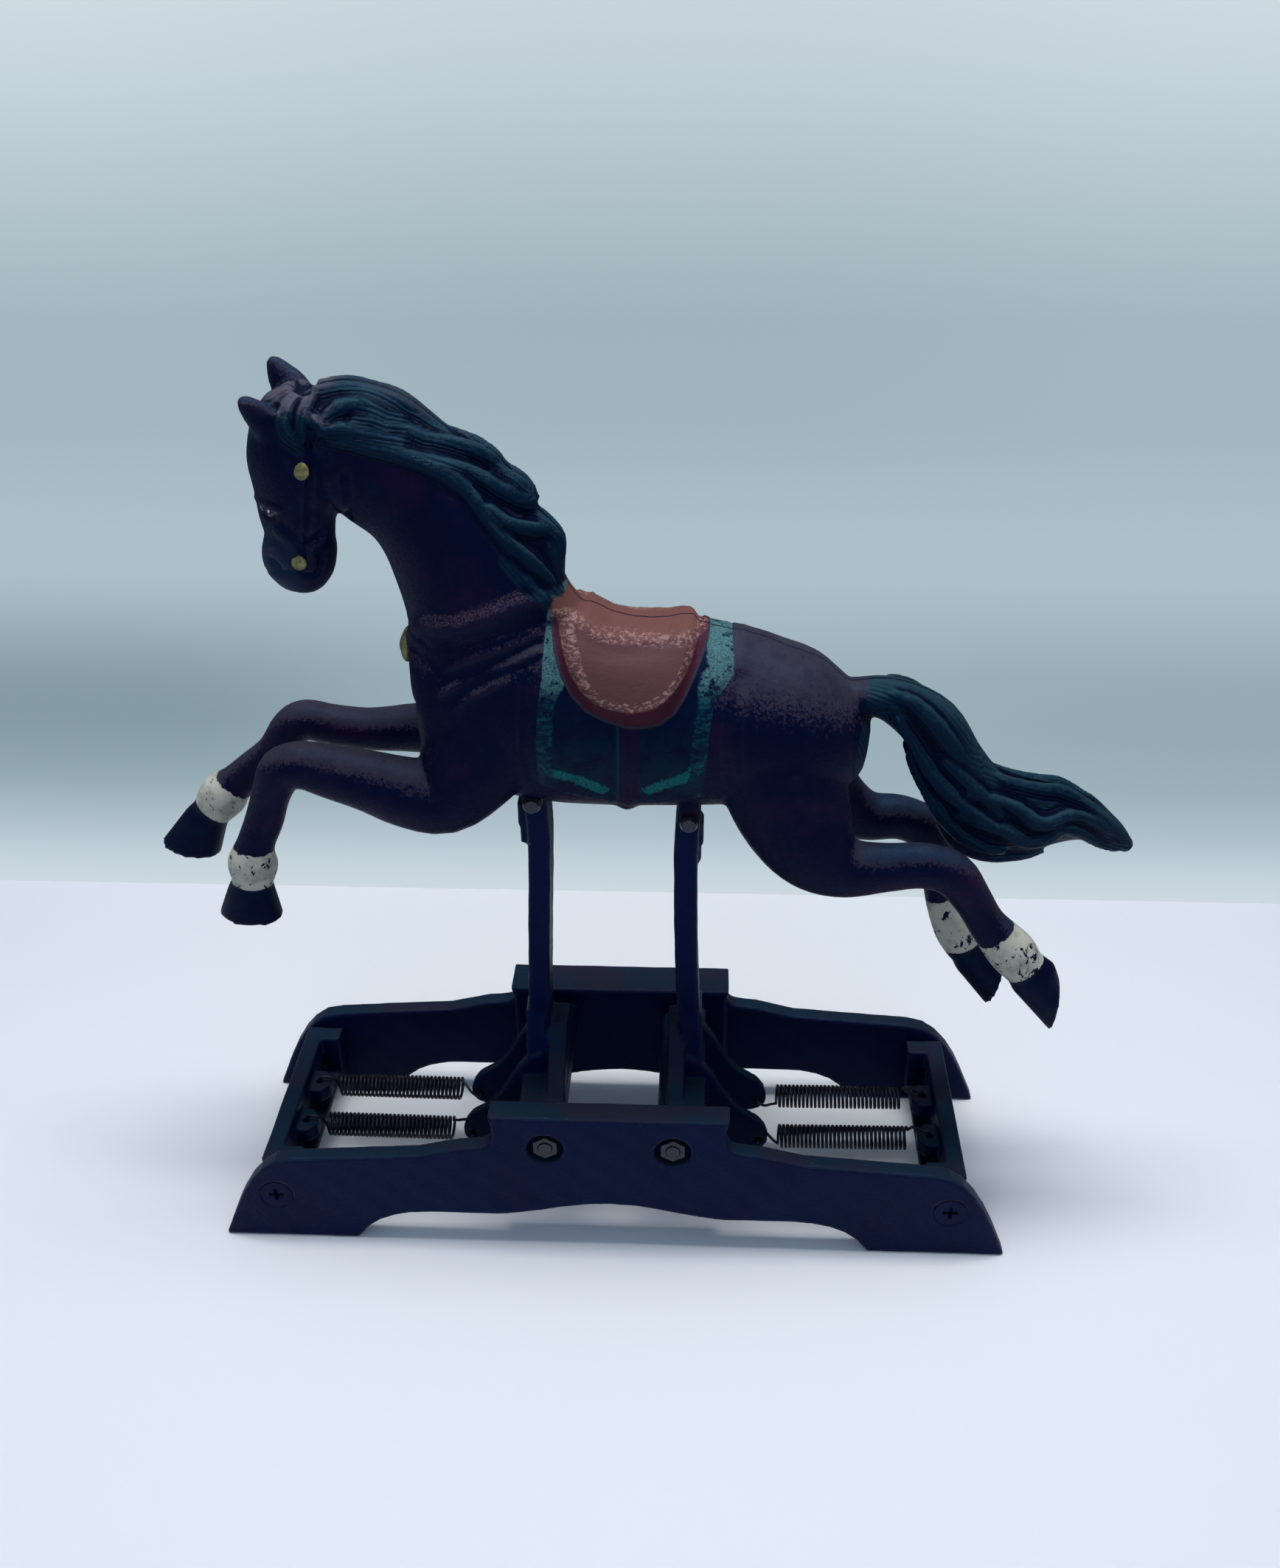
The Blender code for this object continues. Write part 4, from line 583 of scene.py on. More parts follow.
# locks lie on the near side and are mirrored: a route, then the thickness at root, middle and tip
locks = {
    "mane": [
        ([(-70, -3, 256), (-63, -2.5, 257), (-56.6, -2, 255.7), (-50.5, -2, 253.5), (-45.8, -1.5, 249.9),
          (-41.9, -1.5, 247), (-38.4, -1.5, 244.3), (-35.5, -1.5, 241.6)], (2.2, 2.7, 1.6)),
        ([(-68.5, -7.9, 248.6), (-67, -7.4, 251), (-65, -6.8, 252.8), (-62.5, -6.2, 254),
          (-59.2, -5.4, 254.2), (-55.8, -5.6, 252.9), (-52.4, -5.8, 251),
          (-48.6, -5.2, 250.2)], (1.2, 1.9, 0.8)),
        ([(-60.2, -7, 251.4), (-55.7, -6.8, 251), (-52.4, -6.8, 249.5), (-47.9, -6.2, 249)], (1.0, 1.4, 0.7)),
        ([(-70.2, -7.4, 252), (-67.1, -8.4, 249.2), (-62.5, -8.4, 249.2), (-58, -8.2, 248.2),
          (-52.4, -8, 247), (-47.9, -7.6, 246)], (1.5, 1.9, 1.0)),
        ([(-48, -5.8, 248.4), (-43.6, -5.2, 245.8), (-38.3, -3.4, 244), (-32.5, -2.4, 242.2),
          (-28, -1.8, 239.8), (-25.6, -1.5, 237)], (1.6, 2.4, 1.6)),
        ([(-66, -8.6, 247), (-61.5, -8.9, 246.4), (-55.3, -9, 244.7), (-49.1, -9, 243.2),
          (-42.9, -8.9, 240.5), (-36.8, -8.8, 237.1), (-32.3, -9.2, 233), (-29, -9.9, 227.9),
          (-25.7, -10.3, 223.1), (-22.4, -10.2, 218.4)], (1.3, 2.0, 1.0)),
        ([(-32.4, -6.6, 237.6), (-28.6, -5.8, 235.2), (-25.3, -5, 232.5), (-22, -3.8, 230.2),
          (-18.8, -2.6, 229.2), (-16.9, -1.8, 229.8)], (1.4, 2.4, 1.5)),
        ([(-28, -2, 237.6), (-25.2, -1.9, 235.7), (-21.8, -1.8, 233.3), (-19.4, -1.6, 230.9),
          (-18.2, -1.5, 228.4)], (2.0, 2.4, 1.5)),
        ([(-28.4, -9, 230), (-25.1, -8.6, 226.6), (-21.8, -7.6, 224.2), (-17.6, -4.8, 222.4),
          (-14.6, -2.6, 221.2), (-12.8, -1.8, 219)], (1.3, 2.0, 1.3)),
        ([(-25.7, -10.3, 223.2), (-21.8, -9.6, 219.4), (-17.6, -8.4, 214.2), (-14.4, -6.6, 209.7),
          (-13, -5, 206.6)], (1.2, 1.9, 1.2)),
        ([(-19.4, -2, 225.6), (-16.8, -1.9, 224.2), (-14, -1.7, 221), (-12.3, -1.6, 217.8),
          (-12.3, -1.6, 213.8), (-13.2, -1.6, 209)], (1.6, 2.1, 1.8)),
        ([(-45.1, -8.5, 243), (-39, -7.8, 241), (-33.5, -6.6, 238.7), (-29.2, -5, 236.6),
          (-26.1, -3.4, 234.6)], (1.0, 1.6, 1.0)),
        ([(-74, -3, 256), (-75.9, -6.4, 253.8), (-77.1, -7.8, 250.7), (-76.2, -8.7, 247.7),
          (-74, -8.8, 245.8)], (1.6, 1.9, 0.9)),
        ([(-70.5, -4.4, 255.8), (-72.1, -6.8, 252.7), (-73, -7.9, 249.5),
          (-72.6, -8.6, 246.5)], (1.5, 1.7, 0.9)),
        ([(-24, -9.6, 216), (-20.5, -9.8, 211.6), (-17.6, -9.4, 207.6),
          (-15.8, -8.2, 204.6)], (1.1, 1.7, 1.0)),
        ([(-76, -1.6, 257), (-79.6, -2.4, 254.4), (-82.8, -2.8, 250.8), (-85, -2.6, 246.4)], (1.8, 2.0, 0.9)),
    ],
    "tail": [
        ([(76, -4.8, 176.8), (81.8, -5.4, 174.9), (87.4, -6.4, 169.9), (92.2, -6.8, 164), (96.8, -5.6, 156.7),
          (101, -3.2, 152.3)], (1.4, 2.1, 1.3)),
        ([(78, -6.3, 170.4), (83.3, -6.4, 162.7), (87.9, -7.2, 155.4), (93.1, -8.2, 149), (99, -8.7, 143.8),
          (106.3, -8.8, 139.2)], (1.3, 2.0, 1.0)),
        ([(82.6, -3.6, 158.6), (84.5, -3.6, 153.8), (88.1, -5.4, 148), (92.7, -6.6, 140.6), (98.7, -7.2, 134),
          (106, -7.4, 129.8), (111.7, -7, 129)], (1.2, 2.0, 1.1)),
        ([(92, -3, 141), (97, -3.2, 131.6), (102, -3, 127.6), (109, -2.6, 125.2), (118, -2.4, 125.6),
          (123.3, -1.8, 127)], (2.0, 2.6, 1.5)),
        ([(101, -2.8, 152.6), (110, -2.4, 148.8), (118.6, -2.4, 146.6), (125.4, -2.2, 145.8),
          (131.9, -2, 142.4), (137.2, -2.8, 138.8), (143.8, -2.2, 132.6)], (1.6, 2.0, 1.0)),
        ([(98.6, -8.1, 148.4), (105.8, -7, 146), (113, -7, 143), (118.7, -7.9, 139.2), (122.9, -7.5, 138.8),
          (128.3, -6, 140.4), (134.2, -5, 138.4), (140.5, -4, 133.6)], (1.2, 1.9, 0.9)),
        ([(96.5, -8.1, 142), (103.5, -8.8, 139), (110.5, -8.6, 136.6), (116.8, -7.9, 132.6),
          (122.2, -7.3, 133.5), (125.7, -7, 136.4), (131.5, -6, 134.6), (138.9, -3.2, 129),
          (144.5, -1.8, 126.6)], (1.2, 1.9, 0.8)),
        ([(92, -7.4, 158), (98, -7.4, 152), (104, -7.4, 146.4), (109, -8, 141)], (1.0, 1.6, 0.9)),
    ],
}


def lockStations(route, sizes, side):
    root, middle, tip = sizes
    stations = []
    for index, (x, y, z) in enumerate(route):
        t = index / (len(route) - 1)
        size = np.interp(t, (0, 1 / 2.2, 0.55, 1), (root, middle, middle, tip))
        stations.append((x, y * side, z, size * 1.25, size * 0.8))
    return smoothPath(stations, 4)


def castHorse():
    bm = bmesh.new()
    for word, steps, sides in (("trunk", 4, 48), ("neck", 4, 40), ("head", 4, 32), ("chin", 3, 20),
                               ("tail", 4, 24)):
        loftInto(bm, smoothPath(horse[word], steps), sides)
    for ear in horse["ears"]:
        loftInto(bm, smoothPath(ear, 4), 14)
    for leg in horse["legs"].values():
        loftInto(bm, smoothPath(leg, 4), 24)
    for stations, sole in horse["hooves"]:
        loftInto(bm, stations, 28, sole)
    loftInto(bm, smoothPath(horse["maneBed"], 4), 24)
    for group in locks.values():
        for route, sizes in group:
            for side in (1, -1):
                loftInto(bm, lockStations(route, sizes, side), 12)
    body = finishMesh("horseForm", bm)
    voxelBlend(body, horse["voxel"], horse["softRounds"])
    return body


form = castHorse()
print("horse blended:", len(form.data.vertices), "points")

# outlines are x and z as seen from the side; a stroke is its route, its radius and its height
carving = {
    "saddle": [(-12.2, 206.4), (-12, 199.5), (-11, 193.2), (-9.3, 188), (-6.6, 183.2), (-3.4, 179.7),
               (1.2, 177.2), (6, 175.9), (10.4, 175.5), (14.4, 176.4), (17.8, 179), (20.4, 183),
               (22.5, 187.2), (24, 190.2), (25, 192.4), (26.6, 196), (27.4, 206.4)],
    "flap": [(-14, 212), (-12, 199.5), (-10.4, 193.5), (-8.4, 188.4), (-5.4, 184.2), (-1.8, 181.4),
             (2.4, 179.9), (7.6, 179.2), (13, 180.1), (17.4, 182.7), (20.8, 186.2), (22.8, 189.6),
             (24, 192.6), (26, 196), (30, 212)],
    "saddleRise": 2.7, "saddleEdge": 2.6, "creaseRise": 1.0, "creaseWidth": 1.5, "creaseDrop": 1.4,
    "faceDent": 0.2, "faceHeight": 15, "trunkFrom": (-20, 140),
    # a fade runs from nothing at its first value to all at its second
    "foldInside": (1.6, 3.4), "foldOut": (4, 8),
    "seatFades": {"z": ((184, 192), (213, 207)), "y": ((17, 9),), "x": ((-13, -10.6), (62, 48))},
    "seatScan": {"x": (-9, 62), "z": (180, 207), "out": 1.2, "reach": 0.9},
    "pommel": ((-10.8, 0, 203), 8.0, 36),
    "crease": [(-11, 201.6), (-2.7, 197.3), (1.9, 195.6), (6.1, 194.8), (11.9, 194.3), (19.6, 194.8),
               (23.9, 195.2), (28, 196.4)],
    "seatTop": [(-12, 203), (-10.8, 204.6), (-9.6, 205.3), (-8, 204.4), (-4.3, 201.2), (0.8, 198.8),
                (5.8, 197.5), (11.2, 196.7), (16.1, 196.8), (20, 197.6), (23, 197.6), (25.4, 196.4),
                (28, 194.6), (31, 194), (36.4, 193.3), (43.8, 191), (51.3, 187.2), (55, 184.4), (62, 179.2)],
    "blanket": [(-12.6, 206.8), (-14, 200), (-14.6, 194), (-15, 188), (-16.4, 178), (-17.2, 167),
                (-17.2, 155), (-12.5, 151.5), (-1, 148.6), (7, 146), (16, 147.6), (25.6, 151.2),
                (26.6, 162), (27.4, 174), (28.8, 181), (33.6, 187), (33, 194), (32, 206.8)],
    "blanketRise": 0.8, "blanketEdge": 1.0,
    "strokes": [
        ([(7, -19.5, 176), (7, -20, 164), (6.4, -16, 151), (5.5, -10, 144.4), (5.5, 0, 141)], 3.4, 0.6),
        ([(5.4, -10, 144), (5.4, -6, 143)], 4.6, 0.7),
        ([(-52, -5, 192), (-47.5, -11.9, 198.2), (-37.2, -14.9, 199.4), (-27, -14.3, 202.4),
          (-19.2, -11.6, 204.8), (-12, -6, 204.6)], 4.2, 1.1),
        ([(-50, -8, 194.4), (-44.1, -14, 193), (-34.4, -15.8, 195.2), (-25.3, -14.9, 198),
          (-15, -10, 199.6)], 1.5, -0.6),
        ([(-41.9, -15.5, 187.1), (-32.8, -16.4, 191.4), (-23.6, -15.4, 194.3), (-16, -12, 196.4)], 2.0, 0.7),
        ([(-42, -15.6, 181), (-33, -17.6, 186.4), (-24, -17, 190.2), (-17, -14, 192.6)], 2.2, 0.7),
        ([(-40, -15.6, 176), (-32, -18, 181.8), (-25, -18.2, 185.8)], 2.2, 0.6),
        ([(-18.5, -16, 196), (-19.5, -19, 184), (-20.4, -20, 170), (-20, -18, 156)], 2.2, -0.5),
        ([(36, -14, 186), (34, -19, 176), (34, -21, 164), (36, -19, 150), (40, -16, 140)], 3.0, -0.6),
        ([(52, -20, 160), (57, -18, 150), (60, -15.5, 142)], 5.0, 0.8),
        ([(-70.8, -7.6, 249.8), (-71.5, -8.3, 245.5), (-72.1, -8.8, 240.9), (-72.7, -8.8, 235.4),
          (-73.8, -8.1, 229.7), (-75.1, -6.8, 222.9), (-77.1, -6.5, 215.1)], 1.1, -0.8),
        ([(-75.6, -6.6, 216.6), (-75.2, -6.2, 212.4)], 2.6, 0.9),
        ([(-63.2, -9, 238.4), (-63.6, -8.5, 233.5), (-64.1, -7.2, 229.4), (-65, -4.4, 225)], 1.4, -0.8),
        ([(-68, -7, 236), (-68.6, -7.4, 231)], 6.0, 1.2),
        ([(-87.8, -2.6, 229.8), (-84.6, -6.2, 229.6), (-81.6, -7.8, 228.6)], 1.3, 0.7),
        ([(-85.6, -5.6, 226.4), (-83.4, -7, 226.4)], 1.6, -0.5),
        ([(-88, -1.5, 209.9), (-84.8, -5.3, 210.7), (-81.3, -6.4, 210.6), (-78.9, -6.4, 210.2),
          (-76.1, -5.7, 209.4)], 1.3, -1.3),
        ([(-85.6, -5, 213.4), (-84.2, -5.8, 212.4)], 1.6, -1.5),
        ([(-87, -3.4, 215.4), (-84.4, -5.4, 216), (-82.4, -6, 213.8)], 1.5, 0.9),
        ([(-83, -6.4, 222), (-80.6, -6.9, 219), (-79.4, -6.6, 216)], 1.6, 0.8),
        ([(-81, -7, 224.6), (-78.6, -7.2, 221), (-77.2, -6.9, 217.6)], 1.3, -0.6),
        ([(-64.6, -5, 225.6), (-69.4, -4.8, 222), (-72.6, -5.4, 220.4), (-75, -6.2, 218.6)], 1.8, -1.5),
        ([(-66, -8, 230), (-70, -8.2, 226), (-74, -7.8, 223)], 4.0, 0.9),
        ([(-72.6, -5.6, 214), (-74.6, -5.4, 209)], 1.4, -1.1),
        ([(-82.2, -5.2, 250.6), (-84.2, -6.8, 254), (-86, -7.8, 256.2)], 1.5, -1.3),
        ([(-78, 5.4, 251.8), (-79.8, 6.8, 255.6), (-81.4, 7.6, 259.4)], 1.6, -1.0),
    ],
}


def bothWays(route):
    return [[(x, y * side, z) for x, y, z in route] for side in (1, -1)]


def onTrunk(points):
    fromX, fromZ = carving["trunkFrom"]
    return (points[:, 0] > fromX) & (points[:, 2] > fromZ)


def heightAt(line, x):
    return np.interp(x, *np.array(line).T)


# the height of the back along its middle
def horseTop(points):
    x, y, z = points.T
    scan = carving["seatScan"]
    low, high = scan["z"]
    middle = (np.abs(y) < scan["out"]) & (z > low) & (z < high)
    spots = np.arange(*scan["x"], 1.0)
    return spots, [z[middle & (np.abs(x - spot) < scan["reach"])].max() for spot in spots]


def carve(mesh):
    points, normals = readMesh(mesh)
    x, y, z = points.T
    moved = points.copy()
    for outline in ("blanket", "saddle"):
        rise, edge = carving[outline + "Rise"], carving[outline + "Edge"]
        inside = outlineDistance(points, carving[outline])
        moved += normals * (ramp01(inside, -edge * 0.3, edge) * rise * onTrunk(points))[:, None]
    # the fold between seat and flap, and the flap's hollow face below it
    above = z + carving["creaseDrop"] - heightAt(carving["crease"], x)
    drop = np.clip(-above / carving["faceHeight"], 0, 1)
    fold = np.exp(-np.abs(above) / carving["creaseWidth"]) * carving["creaseRise"]
    fold -= 4 * drop * (1 - drop) * carving["faceDent"]
    fold *= ramp01(inside, *carving["foldInside"]) * ramp01(np.abs(y), *carving["foldOut"]) * onTrunk(points)
    moved += normals * fold[:, None]
    # the back is drawn to the line of the seat
    top = np.ones(len(points))
    for axis, values in (("z", z), ("y", np.abs(y)), ("x", x)):
        for fade in carving["seatFades"][axis]:
            top *= ramp01(values, *fade)
    moved[:, 2] += (heightAt(carving["seatTop"], x) - np.interp(x, *horseTop(moved))) * top
    for route, radius, height in carving["strokes"]:
        for path in bothWays(route):
            if len(path) > 2:
                path = smoothPath(path, 3)
            reach = np.clip(1 - (pathDistance(points, path, radius * 1.2) / radius) ** 2, 0, 1) ** 2
            moved += normals * (reach * height)[:, None]
            if route[-1][1] == 0:  # a stroke that ends on the middle has no twin
                break
    pommel, reach, rounds = carving["pommel"]
    near = ramp01(np.linalg.norm((points - pommel) * (1, 0.6, 1), axis=1), reach, reach * 0.6)
    return moved + (softened(mesh, moved, rounds) - moved) * near[:, None]


writePoints(form.data, carve(form.data))
print("horse carved")

# belly pockets for the levers' tops, their lugs, and the screws' holes
belly = {"pins": [(-21.0, 143.7, 3.2), (22.65, 138.3, 3.4)], "inner": 6.6, "lug": 3.7, "lugRadius": 2.8,
         "lugRise": 9, "slotDepth": 14, "slotRise": 10, "swingRoom": 2.9, "pinHole": 1.8, "headPocket": 2.9,
         "pocketDepth": 7, "screws": [(-27, 181), (49, 170)], "screwPocket": 3.6, "screwSeat": 12,
         "screwEnd": 30}
tools = {word: bmesh.new() for word in ("lugBlocks", "lugEnds", "slots", "pinHoles", "pockets")}
outer = belly["inner"] + belly["lug"]
bottom = outer + belly["pocketDepth"]
r = belly["lugRadius"]
for x, z, half in belly["pins"]:
    room = half + belly["swingRoom"]
    addBlock(tools["slots"], (x - room, -belly["inner"], z - belly["slotDepth"]),
             (x + room, belly["inner"], z + belly["slotRise"]))
    for side in (-1, 1):
        inner = side * (belly["inner"] - 1)
        low, high = sorted((inner, side * outer))
        addBlock(tools["lugBlocks"], (x - r, low, z), (x + r, high, z + belly["lugRise"]))
        # a hair smaller than the block, so that no two faces meet in one plane
        addBar(tools["lugEnds"], (x, inner, z), (x, side * (outer - 0.02), z), r - 0.01)
        addBar(tools["pockets"], (x, side * outer, z), (x, side * bottom, z), belly["headPocket"])
    addBar(tools["pinHoles"], (x, -bottom - 0.5, z), (x, bottom + 0.5, z), belly["pinHole"])
for x, z in belly["screws"]:
    addBar(tools["pockets"], (x, belly["screwSeat"], z), (x, belly["screwEnd"], z), belly["screwPocket"])
for word, tool in tools.items():
    cutWith(form, tool, "UNION" if word.startswith("lug") else "DIFFERENCE")
    print("pocket step", word, flush=True)
print("pockets cut:", len(form.data.vertices), "points")

# paint boundaries are kept as distances in mm, so that the brush edge can be ragged and still sharp
paintMarks = {
    "socks": {"leftFore": ((-100.6, -13, 130.0), (-101.9, -13, 118.4)),
              "rightFore": ((-112.4, 13, 134.6), (-119.9, 13, 126.2)),
              "leftHind": ((110.4, -14, 105.4), (119.8, -14, 93.4)),
              "rightHind": ((99.0, 14, 99.0), (105.6, 14, 80.6))},
    "eyeLines": [[(-87, -4.8, 228.2), (-86, -5.7, 227), (-84.2, -6.7, 226.3), (-82.2, -7.6, 226.8)],
                 [(-87, -4.8, 228.2), (-85.4, -6.1, 229.2), (-83.4, -7.2, 229.1), (-82.2, -7.6, 226.8)]],
    "collar": [(-47.8, -11.9, 200.1), (-37.2, -14.9, 201.7), (-27.4, -14.3, 205.4), (-19.2, -11, 208.3),
               (-11.5, -3.3, 207.3)],
    "crest": [(-72, 0, 255), (-62, 0, 256), (-50, 0, 252), (-38, 0, 243), (-26, 0, 234), (-18, 0, 222),
              (-13, 0, 208)],
    "crestWidth": 7.5, "crestFrom": -72, "crestTo": -12, "lockWidth": 3.0,
    # the plane that the tail's paint starts at, and how much nearer a leg's middle must be to be no tail
    "tailRoot": {"x": 70, "z": 176, "lean": 0.2, "lowest": 122, "legLead": 4},
    "sockReach": 34, "sockAbove": 12, "hoofAbove": 3,
    "saddleSpread": 1.6, "blanketSpread": 0.6, "maneFoot": [(-9.8, 205.6), (-6.8, 206.8)], "footCut": 4,
    "girthTop": 180, "brushWidth": 2.2, "collarWidth": 1.7,
    "girth": [(5.5, 141), (5.5, 145), (6.4, 151), (7, 164), (7, 180)],
    "brushed": [[(-15.5, -20.4, 159.4), (-7.5, -20.7, 157.2), (-1, -18.7, 153.5)],
                [(12, -19.4, 153.8), (17, -21, 156.6), (22, -21.8, 159), (25.5, -22.4, 162.6)]],
}


def toBothPaths(points, paths, reach):
    return np.min([pathDistance(points, way, reach) for path in paths for way in bothWays(path)], axis=0)


# the mane and the tail: near a lock, behind the tail's root, or on the crest of the neck
def hairMarks(points, normals):
    x, y, z = points.T
    routes = [way for group in locks.values() for route, sizes in group for way in bothWays(route)]
    hair, across = hairFlow(points, normals, routes, 9)
    root = paintMarks["tailRoot"]
    tailRoot = np.where(z > root["lowest"], root["x"] + (z - root["z"]) * root["lean"] - x, offMark)
    legs = np.min([pathDistance(points, [s[:3] for s in horse["legs"][name]], 14)
                   for name in ("leftHind", "rightHind")], axis=0)
    tail = pathDistance(points, [s[:3] for s in horse["tail"]], 16)
    tailRoot = np.where(legs + root["legLead"] < tail, offMark, tailRoot)
    # along the crest the mark stops at its edge, where the paint frays
    crest = np.maximum(pathDistance(points, paintMarks["crest"], 12) - paintMarks["crestWidth"], 0)
    crest[(x <= paintMarks["crestFrom"]) | (x >= paintMarks["crestTo"])] = offMark
    return -np.min([hair - paintMarks["lockWidth"], tailRoot, crest], axis=0), across


def sockMarks(points):
    sock = hoof = np.full(len(points), -offMark)
    for top, low in paintMarks["socks"].values():
        top, low = np.array(top), np.array(low)
        along = (low - top) / np.linalg.norm(low - top)
        fromTop = (points - top) @ along
        fromLow = (points - low) @ along
        near = np.linalg.norm(points - (top + low) / 2, axis=1) < paintMarks["sockReach"]
        near &= (points[:, 1] * top[1] > 0) & (fromTop > -paintMarks["sockAbove"])
        sock = np.where(near, np.minimum(fromTop, -fromLow), sock)
        hoof = np.where(near & (fromLow > -paintMarks["hoofAbove"]), fromLow, hoof)
    return sock, hoof


def paintFields(mesh):
    marks = paintMarks
    points, normals = readMesh(mesh)
    x, y, z = points.T
    trunkOnly = np.where(onTrunk(points), 0, -offMark)
    maneFoot = sum(marks["footCut"] * ((x < edge) & (z > low)) for edge, low in marks["maneFoot"])
    hairEdge, strand = hairMarks(points, normals)
    sockEdge, hoofEdge = sockMarks(points)
    saddle, flap, blanket = (outlineDistance(points, carving[word]) for word in ("saddle", "flap", "blanket"))
    girthX, girthZ = np.array(marks["girth"]).T
    fields = {
        "edgeWear": cavity(mesh, points, normals, 5), "hairEdge": hairEdge, "strand": strand,
        "sockEdge": sockEdge, "hoofEdge": hoofEdge,
        "saddleEdge": saddle + marks["saddleSpread"] + trunkOnly - maneFoot, "flapEdge": flap,
        "blanketEdge": blanket + marks["blanketSpread"] + trunkOnly,
        "crease": z - heightAt(carving["crease"], x),
        "girthAcross": np.where(z > marks["girthTop"], offMark, x - np.interp(z, girthZ, girthX)),
        "brushed": marks["brushWidth"] - toBothPaths(points, marks["brushed"], 6),
        "collarEdge": marks["collarWidth"] - toBothPaths(points, [marks["collar"]], 5),
        "eyeLine": toBothPaths(points, marks["eyeLines"], 4),
    }
    for name, values in fields.items():
        writeField(mesh, name, values)


paintFields(form.data)
print("paint marked out")

coat = {"maroon": shade(26, 6, 40), "shadow": shade(2, 2, 33), "dust": shade(48, 47, 60),
        "sheen": shade(26, 40, 60), "rub": shade(64, 52, 66), "wash": shade(12, 28, 50),
        "muzzle": shade(36, 56, 84), "hair": shade(3, 25, 44), "hairHollow": shade(1, 3, 26),
        "hairRub": shade(27, 52, 64), "poll": shade(70, 68, 80), "saddle": shade(100, 66, 60),
        "flap": shade(86, 57, 56), "saddleEdge": shade(64, 24, 36), "saddleRub": shade(150, 118, 114),
        "blanket": shade(1, 28, 46), "blanketDark": shade(1, 4, 34), "border": shade(10, 62, 72),
        "borderDeep": shade(4, 26, 48), "borderPale": shade(74, 112, 116), "girth": shade(22, 4, 34),
        "smear": shade(18, 104, 106), "sock": shade(190, 190, 178), "sockStain": shade(132, 134, 128),
        "chip": shade(8, 11, 34), "hoof": shade(1, 3, 32), "hoofRub": shade(4, 26, 44),
        "tint": (0.2, 0.45, 1.0, 1.0), "bump": 0.32}


